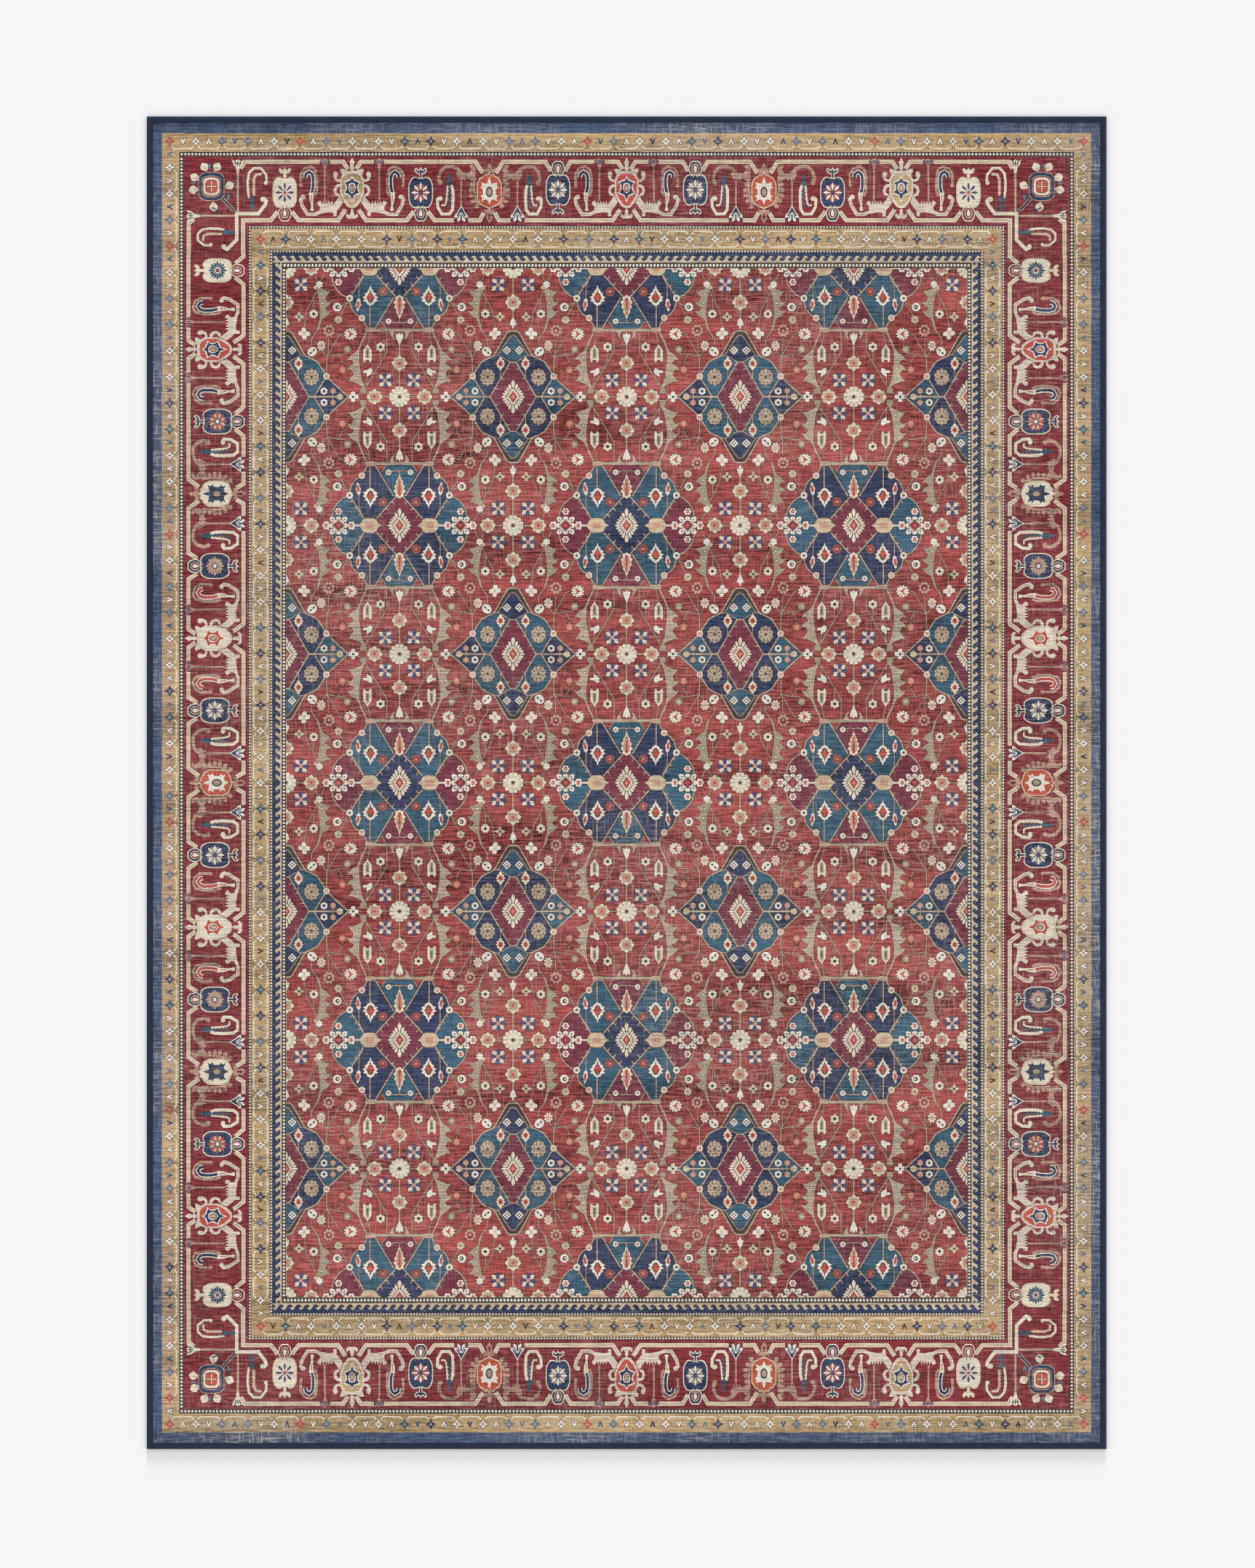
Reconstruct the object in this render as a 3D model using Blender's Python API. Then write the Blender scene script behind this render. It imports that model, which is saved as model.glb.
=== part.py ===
"""Bound flat-woven area rug, lying flat: three cloth layers held together by a stitched edge tape.

Metres, +Z up. The origin is the middle of the underside; X runs across the rug and Y along it.
The tape is a U-section strip on each side, mitred at the corners, and the layers' edges sit in it.
"""

import math

import bmesh
import bpy
from mathutils import Matrix, Vector

# Overall size
RUG_WIDTH = 1.524
RUG_LENGTH = 2.117

# Layers
FACE_THICKNESS = 0.0020
INTERLINING_THICKNESS = 0.0010
LAYER_GAP = 0.0003

# Edge tape, folded double round the edge
TAPE_THICKNESS = 0.0012
TAPE_WIDTH = 0.0100
TAPE_FOLD_RADIUS = 0.0022
TAPE_FOLD_STEPS = 5
MITRE_GAP = 0.0003

# Lock-stitch seam, sunk in a channel in each leg of the tape
THREAD_WIDTH = 0.0008
THREAD_HEIGHT = 0.0005
THREAD_CLEARANCE = 0.0003
SEAM_FROM_TAPE_EDGE = 0.0018

# Blank care label under the back right corner
LABEL_WIDTH = 0.0500
LABEL_LENGTH = 0.0300
LABEL_THICKNESS = 0.0004
LABEL_LIFT = 0.0001
LABEL_FROM_SIDE = 0.1500
LABEL_CLEARANCE = 0.0004

# Worked out from the sizes above
GRIP_THICKNESS = TAPE_THICKNESS
INTERLINING_BOTTOM = TAPE_THICKNESS + LAYER_GAP
FACE_BOTTOM = INTERLINING_BOTTOM + INTERLINING_THICKNESS + LAYER_GAP
FACE_TOP = FACE_BOTTOM + FACE_THICKNESS
EDGE_HEIGHT = FACE_TOP + LAYER_GAP + TAPE_THICKNESS
SEAM_INSET = TAPE_WIDTH - SEAM_FROM_TAPE_EDGE
CHANNEL_WIDTH = THREAD_WIDTH + 2 * THREAD_CLEARANCE
CHANNEL_DEPTH = THREAD_HEIGHT + THREAD_CLEARANCE

# Each side's turn about Z from the front one, and its length
SIDES = {
    "front": (0.0, RUG_WIDTH),
    "right": (90.0, RUG_LENGTH),
    "back": (180.0, RUG_WIDTH),
    "left": (270.0, RUG_LENGTH),
}


def clear_scene():
    for obj in list(bpy.data.objects):
        bpy.data.objects.remove(obj)


def make_material(name, colour, roughness):
    """A plain cloth or rubber finish."""
    material = bpy.data.materials.new(name)
    material.use_nodes = True
    shader = material.node_tree.nodes["Principled BSDF"]
    shader.inputs["Base Color"].default_value = (*colour, 1.0)
    shader.inputs["Roughness"].default_value = roughness
    shader.inputs["Metallic"].default_value = 0.0
    return material


def make_object(name, mesh_data, material=None):
    """Turns a bmesh into a named object in the scene."""
    bmesh.ops.recalc_face_normals(mesh_data, faces=mesh_data.faces)
    mesh = bpy.data.meshes.new(name)
    mesh_data.to_mesh(mesh)
    mesh_data.free()
    obj = bpy.data.objects.new(name, mesh)
    bpy.context.scene.collection.objects.link(obj)
    if material:
        mesh.materials.append(material)
    return obj


def slab(width, length, bottom, thickness):
    """A flat rectangular layer, centred on the origin in X and Y."""
    layer = bmesh.new()
    bmesh.ops.create_cube(layer, size=1.0)
    bmesh.ops.scale(layer, vec=(width, length, thickness), verts=layer.verts)
    bmesh.ops.translate(layer, vec=(0, 0, bottom + thickness / 2), verts=layer.verts)
    return layer


def tape_profile():
    """The U-section as (distance in from the edge, height) points, going once round."""
    near, far = SEAM_INSET - CHANNEL_WIDTH / 2, SEAM_INSET + CHANNEL_WIDTH / 2
    top = [(TAPE_WIDTH, 0.0), (far, 0.0), (far, CHANNEL_DEPTH), (near, CHANNEL_DEPTH), (near, 0.0)]
    for step in range(TAPE_FOLD_STEPS + 1):
        angle = math.radians(90) * step / TAPE_FOLD_STEPS
        top.append(
            (TAPE_FOLD_RADIUS * (1 - math.sin(angle)), TAPE_FOLD_RADIUS * (1 - math.cos(angle)))
        )
    upper = [(across, EDGE_HEIGHT - drop) for across, drop in top]
    lower = [(across, drop) for across, drop in reversed(top)]
    inner_fold = TAPE_FOLD_RADIUS - TAPE_THICKNESS
    ceiling = EDGE_HEIGHT - TAPE_THICKNESS
    inside = [
        (TAPE_WIDTH, TAPE_THICKNESS),
        (TAPE_THICKNESS + inner_fold, TAPE_THICKNESS),
        (TAPE_THICKNESS, TAPE_THICKNESS + inner_fold),
        (TAPE_THICKNESS, ceiling - inner_fold),
        (TAPE_THICKNESS + inner_fold, ceiling),
        (TAPE_WIDTH, ceiling),
    ]
    return upper + lower + inside


def thread_profile(bottom):
    """The thread's section, in the middle of its channel."""
    near, far = SEAM_INSET - THREAD_WIDTH / 2, SEAM_INSET + THREAD_WIDTH / 2
    top = bottom + THREAD_HEIGHT
    return [(far, bottom), (far, top), (near, top), (near, bottom)]


def side_strip(profile, side):
    """Runs a section along one side of the rug and cuts both ends at the mitres."""
    turn, side_length = SIDES[side]
    offset = (RUG_LENGTH if side in ("front", "back") else RUG_WIDTH) / 2
    strip = bmesh.new()
    corners = [
        strip.verts.new((-side_length / 2, across - offset, height)) for across, height in profile
    ]
    section = strip.faces.new(corners)
    pushed = bmesh.ops.extrude_face_region(strip, geom=[section])["geom"]
    far_end = [item for item in pushed if isinstance(item, bmesh.types.BMVert)]
    bmesh.ops.translate(strip, vec=(side_length, 0, 0), verts=far_end)
    for end in (-1, 1):
        corner = Vector((end * (side_length / 2 - MITRE_GAP / math.sqrt(2)), -offset, 0))
        cut = bmesh.ops.bisect_plane(
            strip,
            geom=strip.verts[:] + strip.edges[:] + strip.faces[:],
            dist=1e-7,
            plane_co=corner,
            plane_no=Vector((end, 1, 0)).normalized(),
            clear_outer=True,
        )
        rim = [item for item in cut["geom_cut"] if isinstance(item, bmesh.types.BMEdge)]
        bmesh.ops.contextual_create(strip, geom=rim)
    about_z = Matrix.Rotation(math.radians(turn), 3, "Z")
    bmesh.ops.rotate(strip, cent=(0, 0, 0), matrix=about_z, verts=strip.verts)
    return strip


def build_layers():
    """The printed face, the interlining and the grip backing, from the top down."""
    clear_of_fold = 2 * (TAPE_FOLD_RADIUS + LAYER_GAP)
    size = (RUG_WIDTH - clear_of_fold, RUG_LENGTH - clear_of_fold)
    make_object(
        "face_cloth",
        slab(*size, FACE_BOTTOM, FACE_THICKNESS),
        make_material("face", (0.36, 0.09, 0.08), 0.95),
    )
    make_object(
        "interlining",
        slab(*size, INTERLINING_BOTTOM, INTERLINING_THICKNESS),
        make_material("interlining", (0.62, 0.60, 0.56), 0.95),
    )
    between_legs = 2 * (TAPE_WIDTH + LAYER_GAP)
    grip = make_object(
        "grip_backing",
        slab(RUG_WIDTH - between_legs, RUG_LENGTH - between_legs, 0, GRIP_THICKNESS),
        make_material("grip", (0.50, 0.47, 0.42), 0.80),
    )
    return grip


def label_centre():
    """The label's end lies against the back tape's lower leg."""
    return (
        RUG_WIDTH / 2 - LABEL_FROM_SIDE - LABEL_WIDTH / 2,
        RUG_LENGTH / 2 - TAPE_WIDTH - 2 * LAYER_GAP - LABEL_LENGTH / 2,
    )


def build_label(grip):
    """The label, and the dent that it leaves in the grip backing."""
    across, along = label_centre()
    label = slab(LABEL_WIDTH, LABEL_LENGTH, LABEL_LIFT, LABEL_THICKNESS)
    bmesh.ops.translate(label, vec=(across, along, 0), verts=label.verts)
    make_object("care_label", label, make_material("label", (0.85, 0.84, 0.80), 0.6))

    dent_height = LABEL_LIFT + LABEL_THICKNESS + LABEL_CLEARANCE
    overrun = LABEL_LENGTH
    dent = slab(
        LABEL_WIDTH + 2 * LABEL_CLEARANCE,
        LABEL_LENGTH + LABEL_CLEARANCE + overrun,
        -dent_height,
        2 * dent_height,
    )
    bmesh.ops.translate(dent, vec=(across, along + (overrun - LABEL_CLEARANCE) / 2, 0), verts=dent.verts)
    cutter = make_object("label_dent", dent)
    cutter.hide_render = True
    cutter.display_type = "WIRE"
    cut = grip.modifiers.new("label_dent", "BOOLEAN")
    cut.operation = "DIFFERENCE"
    cut.object = cutter


def build_edge():
    """Tape on each side, with the needle thread on top and the bobbin thread underneath."""
    tape = make_material("tape", (0.020, 0.032, 0.060), 0.85)
    thread = make_material("thread", (0.015, 0.022, 0.045), 0.6)
    needle_bottom = EDGE_HEIGHT - THREAD_HEIGHT
    for side in SIDES:
        make_object(f"binding_{side}", side_strip(tape_profile(), side), tape)
        make_object(f"needle_thread_{side}", side_strip(thread_profile(needle_bottom), side), thread)
        make_object(f"bobbin_thread_{side}", side_strip(thread_profile(0.0), side), thread)


clear_scene()
build_label(build_layers())
build_edge()
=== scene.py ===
import math

import bmesh
import bpy
from mathutils import Matrix, Vector
from mathutils.geometry import delaunay_2d_cdt


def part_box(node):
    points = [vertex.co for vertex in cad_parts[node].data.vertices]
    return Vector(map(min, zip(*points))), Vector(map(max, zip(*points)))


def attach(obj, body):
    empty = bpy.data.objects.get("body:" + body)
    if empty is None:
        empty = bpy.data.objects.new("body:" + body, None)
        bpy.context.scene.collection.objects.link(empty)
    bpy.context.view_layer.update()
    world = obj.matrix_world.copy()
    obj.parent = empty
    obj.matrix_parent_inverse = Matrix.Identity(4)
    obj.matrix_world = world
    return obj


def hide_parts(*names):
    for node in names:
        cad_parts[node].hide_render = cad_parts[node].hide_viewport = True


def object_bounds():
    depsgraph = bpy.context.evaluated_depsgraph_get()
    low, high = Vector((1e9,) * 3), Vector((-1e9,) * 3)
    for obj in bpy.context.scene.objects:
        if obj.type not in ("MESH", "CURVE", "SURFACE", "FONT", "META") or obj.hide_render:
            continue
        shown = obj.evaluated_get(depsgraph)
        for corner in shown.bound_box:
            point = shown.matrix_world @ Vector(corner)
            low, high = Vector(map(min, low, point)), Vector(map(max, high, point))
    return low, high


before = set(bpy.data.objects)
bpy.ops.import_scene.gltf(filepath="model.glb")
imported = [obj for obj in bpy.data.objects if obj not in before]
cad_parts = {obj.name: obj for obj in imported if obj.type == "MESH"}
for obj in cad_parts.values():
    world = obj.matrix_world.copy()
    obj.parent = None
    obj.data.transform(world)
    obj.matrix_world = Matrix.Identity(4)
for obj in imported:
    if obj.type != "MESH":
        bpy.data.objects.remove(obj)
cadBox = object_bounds()
print("frame loaded")

mm = 0.001
rugHalf = (cadBox[1].x / mm, cadBox[1].y / mm)  # half the rug's width and length, in millimetres

# Dyes of the printed face, as sRGB. Each becomes one material.
dyes = {
    "madder": (148, 71, 70),
    "wine": (116, 58, 72),
    "garnet": (122, 50, 56),
    "teal": (60, 90, 108),
    "navy": (55, 63, 88),
    "cream": (216, 205, 185),
    "white": (220, 213, 202),
    "sand": (196, 177, 150),
    "camel": (174, 156, 137),
    "olive": (160, 145, 124),
    "coral": (180, 84, 74),
    "blush": (190, 146, 128),
    "umber": (74, 66, 62),
    "violet": (84, 78, 112),
    "gold": (174, 147, 110),
    "slate": (102, 114, 126),
    "denim": (70, 84, 110),
    "ember": (180, 82, 64),
    "chalk": (204, 190, 176),
    "dust": (166, 136, 120),
    "brick": (156, 88, 80),
    "sepia": (88, 60, 58),
}
dyeNames = list(dyes)

# Parts of the pattern whose dye changes from one repeat to the next.
swapNames = ["panel", "gusset", "heart", "lobe", "leaf", "tip", "side"]
swapNames += ["turtle", "turtleBloom", "shield", "shieldBloom", "plume"]
swapNames += ["oval", "ovalEdge", "ovalBloom", "ovalRays", "ovalHeart", "ovalSprout", "ovalRing"]
medallionWays = [
    {"panel": "navy", "gusset": "teal", "heart": "wine", "lobe": "teal"}, {"panel": "teal",
    "gusset": "wine", "heart": "navy", "lobe": "wine"},
]
diamondWays = [
    {"leaf": "navy", "tip": "teal", "side": "teal"}, {"leaf": "teal", "tip": "navy", "side": "navy"},
]


# Flat shapes in millimetres, laid over one another like cut paper.
def lay(sheet, dye, points, at=(0, 0), turn=0.0, flip=False):
    turning = Matrix.Rotation(math.radians(turn), 2)
    side = -1 if flip else 1
    placed = [turning @ Vector((side * x, y)) + Vector(at) for x, y in points]
    area = sum(a.cross(b) for a, b in zip(placed, placed[1:] + placed[:1]))
    sheet.append((dye, placed if area > 0 else placed[::-1]))


def layDisc(sheet, dye, at, radius, sides=9, squash=1.0, turn=0.0):
    step = 2 * math.pi / sides
    lay(sheet, dye, [(radius * math.cos(step * k),
        radius * squash * math.sin(step * k)) for k in range(sides)], at, turn)


# Discs on one another, each given as its dye, radius, sides, squash and turn.
def layDiscs(sheet, at, *discs):
    for dye, radius, *form in discs:
        layDisc(sheet, dye, at, radius, *form)


def layScallop(sheet, dye, at, radius, lobes, depth, squash=1.0, turn=0.0):
    outline = []
    for k in range(lobes):
        for share, reach in ((0.0, 1 - depth), (0.32, 1.0), (0.68, 1.0)):
            angle = 2 * math.pi * (k + share) / lobes
            outline.append((radius * reach * math.cos(angle), radius * squash * reach * math.sin(angle)))
    lay(sheet, dye, outline, at, turn)


# A scalloped flower and the discs of its eye.
def layBloom(sheet, at, rim, *eye):
    layScallop(sheet, rim[0], at, *rim[1:])
    layDiscs(sheet, at, *eye)


def layPetals(sheet, dye, at, count, inner, outer, wide, turn=0.0, squash=1.0):
    belly = inner + 0.6 * (outer - inner)
    for k in range(count):
        turning = Matrix.Rotation(math.radians(turn + 360 * k / count), 2)
        petal = [
            (inner, 0), (belly, -wide / 2), (0.93 * outer, -0.3 * wide), (outer, 0),
            (0.93 * outer, 0.3 * wide), (belly, wide / 2),
        ]
        turned = [turning @ Vector(p) for p in petal]
        lay(sheet, dye, [(p.x, p.y * squash) for p in turned], at)


def layLine(sheet, dye, path, width):
    path = [Vector(p) for p in path]
    left, right = [], []
    for k, point in enumerate(path):
        before = (point - path[k - 1]).normalized() if k else None
        after = (path[k + 1] - point).normalized() if k + 1 < len(path) else None
        along = ((before or after) + (after or before)).normalized()
        reach = width / 2 / max(along.dot(before or after), 0.5)
        across = Vector((-along.y, along.x)) * reach
        left.append(point + across)
        right.append(point - across)
    lay(sheet, dye, left + right[::-1])


def layLines(sheet, dye, width, *paths):
    for path in paths:
        layLine(sheet, dye, path, width)


def layBarbs(sheet, dye, start, end, count, reach, side):
    run = Vector(end) - Vector(start)
    turn = math.degrees(math.atan2(run.y, run.x))
    for k in range(count):
        foot = Vector(start) + run * (k + 0.5) / count
        hook = [(-1.3, 0), (1.1, 0), (0.9, 0.45 * reach), (2.2, reach), (0.1, 0.75 * reach)]
        lay(sheet, dye, [(x, side * y) for x, y in hook], foot, turn)


def layLeaf(sheet, dye, at, length, wide, teeth=0, turn=0.0, belly=0.8):
    steps = 2 * teeth + 1 if teeth else 5
    right = []
    for k in range(1, steps + 1):
        share = k / (steps + 1)
        half = wide / 2 * math.sin(math.pi * share**belly) * (0.68 if teeth and k % 2 == 0 else 1)
        right.append((half, length * share))
    lay(sheet, dye, [(0, 0), *right, (0, length), *[(-x, y) for x, y in right[::-1]]], at, turn)


def layRing(sheet, at, radius, outer, inner, eye):
    layBloom(sheet, at, (outer, radius, 6, 0.10), (inner, 0.5 * radius, 8), (eye, 0.26 * radius, 6))


def layBlossom(sheet, at, radius):
    layPetals(sheet, "cream", at, 4, 0.25 * radius, radius, 0.64 * radius)
    layPetals(sheet, "sand", at, 4, 0.25 * radius, 0.98 * radius, 0.60 * radius, 45)
    layPetals(sheet, "blush", at, 8, 0.2 * radius, 0.68 * radius, 0.24 * radius)
    layDiscs(sheet, at, ("blush", 0.42 * radius, 8), ("coral", 0.27 * radius, 4))


def layWindmill(sheet, at, radius):
    layPetals(sheet, "violet", at, 4, 0.2 * radius, 1.0 * radius, 0.40 * radius, 8)
    layPetals(sheet, "violet", at, 4, 0.2 * radius, 0.94 * radius, 0.24 * radius, 76)
    layPetals(sheet, "cream", at, 4, 0.22 * radius, 1.04 * radius, 0.60 * radius, 50)
    layPetals(sheet, "violet", at, 4, 0.62 * radius, 1.04 * radius, 0.13 * radius, 60)
    layDiscs(sheet, at, ("violet", 0.40 * radius, 4, 1.0, 34), ("blush", 0.32 * radius, 4, 1.0, 34))


def layRosette(sheet, at, radius):
    layScallop(sheet, "cream", at, radius, 12, 0.14)
    layPetals(sheet, "olive", at, 12, 0.50 * radius, 0.88 * radius, 0.10 * radius, 0)
    layDiscs(sheet, at,
        ("white", 0.42 * radius, 12),
        ("sand", 0.29 * radius, 10),
        ("umber", 0.16 * radius, 8))


# Radiating petals inside a diamond outline, with a small diamond at the heart.
def layFishbone(sheet, at, half, height):
    count = 20
    for k in range(count):
        angle = 2 * math.pi * k / count
        reach = 1 / (abs(math.sin(angle)) / half + abs(math.cos(angle)) / height)
        reach *= 1.0 if k % 5 == 0 else 1.10
        inner, belly = 0.42 * reach, 0.78 * reach
        wide = 0.30 * belly
        petal = [
            (0, inner), (wide / 2, belly), (0.32 * wide, 0.93 * reach), (0, reach),
            (-0.32 * wide, 0.93 * reach), (-wide / 2, belly),
        ]
        lay(sheet, "cream", petal, at, -math.degrees(angle))
    layDiscs(sheet, at,
        ("cream", 0.52 * half, 4, 1.45),
        ("wine", 0.36 * half, 4, 1.45),
        ("coral", 0.30 * half, 4, 1.45),
        ("blush", 0.13 * half, 4, 1.45))


# A slim leaf with three hooks, its straight edge on x = 0 and its stalk at the top.
def layComb(sheet, dye, at, side=1, up=1, size=1.0):
    spine = [
        (-2.5, 79.8), (-9.3, 76.7), (-4.5, 66.2), (-2.5, 56.2), (-0.8, 44.1), (0, 35.1), (0, 26.1),
        (-0.5, 18.1), (-3.0, 9.0), (-5.5, 0),
    ]
    hooks = [
        (-3.5, 0), (-0.5, 10), (2.5, 16), (5.5, 20.2), (11, 23.2), (15.5, 27.6), (19.6, 33.8),
        (15.4, 32.2), (12.4, 32.6), (10.2, 35.2), (8.4, 38.6), (11.8, 40.1), (16.3, 43.1), (20.0, 49.4),
        (15.8, 48.1), (12.8, 48.4), (11.0, 51.4), (9.4, 56.2), (12, 59.2), (14.4, 62.2), (17.5, 67.6),
        (12.5, 66.5), (7, 69.0), (0, 72.0), (-5, 75.6), (-7, 77.7),
    ]
    x0, y0 = at
    lay(sheet, dye, [(x0 + side * size * x, y0 + up * size * y) for x, y in hooks + spine])
    for x, y in ((5.5, 28.6), (4.5, 46.1), (2.9, 61.7)):
        dot = (x0 + side * size * x, y0 + up * size * y)
        layDiscs(sheet, dot, ("umber", 2.4, 7), ("white", 1.6, 6))


# Dark outline under every pale shape laid since the given place in the sheet.
def contour(sheet, start, grow, dye="sepia", bare=()):
    grown = []
    for name, points in sheet[start:]:
        if name in ("umber", "sepia", "garnet", "wine") or name in bare:
            continue
        outline = []
        for before, point, after in zip(points[-1:] + points[:-1], points, points[1:] + points[:1]):
            arriving, leaving = (point - before).normalized(), (after - point).normalized()
            along = arriving + leaving
            along = along.normalized() if along.length > 0.1 else arriving
            reach = grow / max(along.dot(arriving), 0.6)
            outline.append(point + Vector((along.y, -along.x)) * reach)
        grown.append((dye, outline))
    sheet[start:start] = grown


# A quarter of the field's repeat: medallion at (0, 0), diamond at the far corner.
quarter = {"width": 180.2, "height": 204.4, "line": 1.8, "stem": 1.05, "contour": 0.7}


def drawMedallion(sheet):
    line, stem = quarter["line"], quarter["stem"]
    shoulder = [
        (50.8, 96), (54.5, 88), (59.7, 79.1), (68.5, 73.9), (75.1, 66.2), (78.1, 56.7), (79.1, 47.9),
    ]
    hip = [(79.1, 47.9), (90.6, 43.0), (98.7, 35.4), (104.6, 26.0), (107.4, 14.0), (108.0, 0)]
    lay(sheet, "panel", [(0, 97.5), (45, 97.5), *shoulder, (57.5, 10.3), (57.5, 0), (0, 0)])
    lay(sheet, "lobe", [*hip, (52, 0), (57.5, 10.3)])
    lay(sheet, "madder", [(20.0, 97.5), (28.0, 84.7), (40.8, 97.5)])
    lay(sheet, "gusset", [(0, 97.5), (20.6, 97.5), (28.0, 84.7), (8.6, 47), (0, 46)])
    lay(sheet, "heart", [(0, 47.5), (5.2, 45.7), (22.1, 27.3), (36.1, 11.8), (36.1, 0), (0, 0)])
    panels = len(sheet)
    # outlines between the panels
    layLine(sheet, "camel", [(0, 48.3), (5.2, 45.9), (22.1, 27.5), (36.6, 11.0)], line)
    layBarbs(sheet, "camel", (7, 43), (35, 12), 3, 6.4, -1)
    layLine(sheet, "camel", [(39.8, 97.5), (9.2, 46.5)], line)
    layLine(sheet, "camel", [(20.3, 97.5), (28.3, 84.7)], stem)
    layLine(sheet, "camel", [(78.5, 47), (56.2, 9.5)], line)
    layBarbs(sheet, "camel", (77, 45), (58.5, 14), 3, 5.6, 1)
    layLines(sheet, "camel", line, shoulder, hip)
    # heart flower, cartouche and pine cone
    layFishbone(sheet, (0, 0), 18.6, 27.5)
    layLine(sheet, "white", [(58, 0), (74, 0)], 2.6)
    lay(sheet, "sand", [(28.0, 0), (34.0, 3.2), (36.8, 9.2), (41.5, 11.6), (53.5, 11.6), (58.6, 8.6),
        (62.6, 2.0), (62.6, 0)])
    lay(sheet, "blush", [(40.5, 0), (41.5, 4.6), (52.5, 4.6), (55.0, 0)])
    layLeaf(sheet, "cream", (0, 42.7), 38.5, 19.5, 4, belly=0.62)
    layLeaf(sheet, "blush", (0, 46.5), 31.0, 11.5, belly=0.7)
    for k, size in enumerate((3.0, 2.6, 2.2, 1.7)):
        layDisc(sheet, "coral", (0, 50.0 + 7.2 * k), size, 6, 1.25)
        layDisc(sheet, "umber", (0, 53.6 + 7.2 * k), 0.55 * size, 4)
    layLines(sheet, "camel", stem, [(0, 81), (0, 87.0)], [(0, 86.2), (6, 87.2), (13, 85.4), (17.4, 84.6)])
    layRing(sheet, (17.4, 84.4), 4.5, "white", "olive", "blush")
    # leaf flower, bud and round flower of the panel
    layLine(sheet, "camel", [(46.9, 93), (46.9, 58)], 1.6)
    layLeaf(sheet, "white", (46.1, 27.0), 33.0, 26.0, 5, belly=1.6)
    layLeaf(sheet, "umber", (46.1, 33.5), 22.5, 13.6, 3, belly=1.6)
    layLeaf(sheet, "coral", (46.1, 35.5), 19.5, 5.6, belly=1.4)
    for turn in (-52, 52):
        layLeaf(sheet, "coral", (46.1, 42.5), 9.2, 4.2, turn=turn)
    layLine(sheet, "camel", [(64.6, 52), (64.4, 27.3), (57.0, 12.5)], stem)
    layLeaf(sheet, "white", (64.4, 47.5), 22.0, 9.0, 2, turn=-6)
    layLeaf(sheet, "coral", (65.0, 52.0), 14.0, 5.0, turn=-8)
    layBloom(sheet, (26.4, 37.4),
        ("brick", 7.2, 8, 0.08),
        ("wine", 4.9),
        ("brick", 3.9, 8),
        ("blush", 1.8, 6))
    # bar over the medallion with its two horns
    lay(sheet, "camel", [(0, 96.4), (38, 96.4), (40.5, 94.6), (52.5, 93.6), (55.2, 97.4), (53.6, 101.6),
        (42, 101.8), (39, 100.6), (0, 100.6)])
    layDisc(sheet, "blush", (47.2, 97.8), 3.0, 6)
    lay(sheet, "camel", [(7.5, 100.2), (16.2, 100.2), (14.6, 104.0), (12.4, 109.6), (7.0, 113.4),
        (9.8, 108.0), (9.6, 104.0)])
    # rings where the outline turns
    layRing(sheet, (59.7, 79.1), 5.3, "cream", "coral", "white")
    layRing(sheet, (79.1, 47.9), 5.6, "white", "olive", "umber")
    contour(sheet, panels, quarter["contour"])


def drawCrossFlower(sheet):
    centre, start = (96.8, 0), len(sheet)
    layPetals(sheet, "white", centre, 4, 5, 19, 8.5, 45)
    layPetals(sheet, "lobe", centre, 4, 9, 15.5, 2.0, 45)
    layPetals(sheet, "white", centre, 4, 7, 14.5, 9.5)
    for at, squash in (((116.8, 0), 1.25), ((76.8, 0), 1.25), ((96.8, 22.2), 0.95)):
        layBloom(sheet, at,
            ("white", 6.0, 6, 0.22, squash, 30),
            ("coral", 3.1, 6, 1.2),
            ("cream", 1.2, 5))
    layDiscs(sheet, centre, ("cream", 12.4, 4), ("camel", 10.8, 4), ("wine", 8.7, 4), ("coral", 4.2, 4))
    contour(sheet, start, quarter["contour"])


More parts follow.
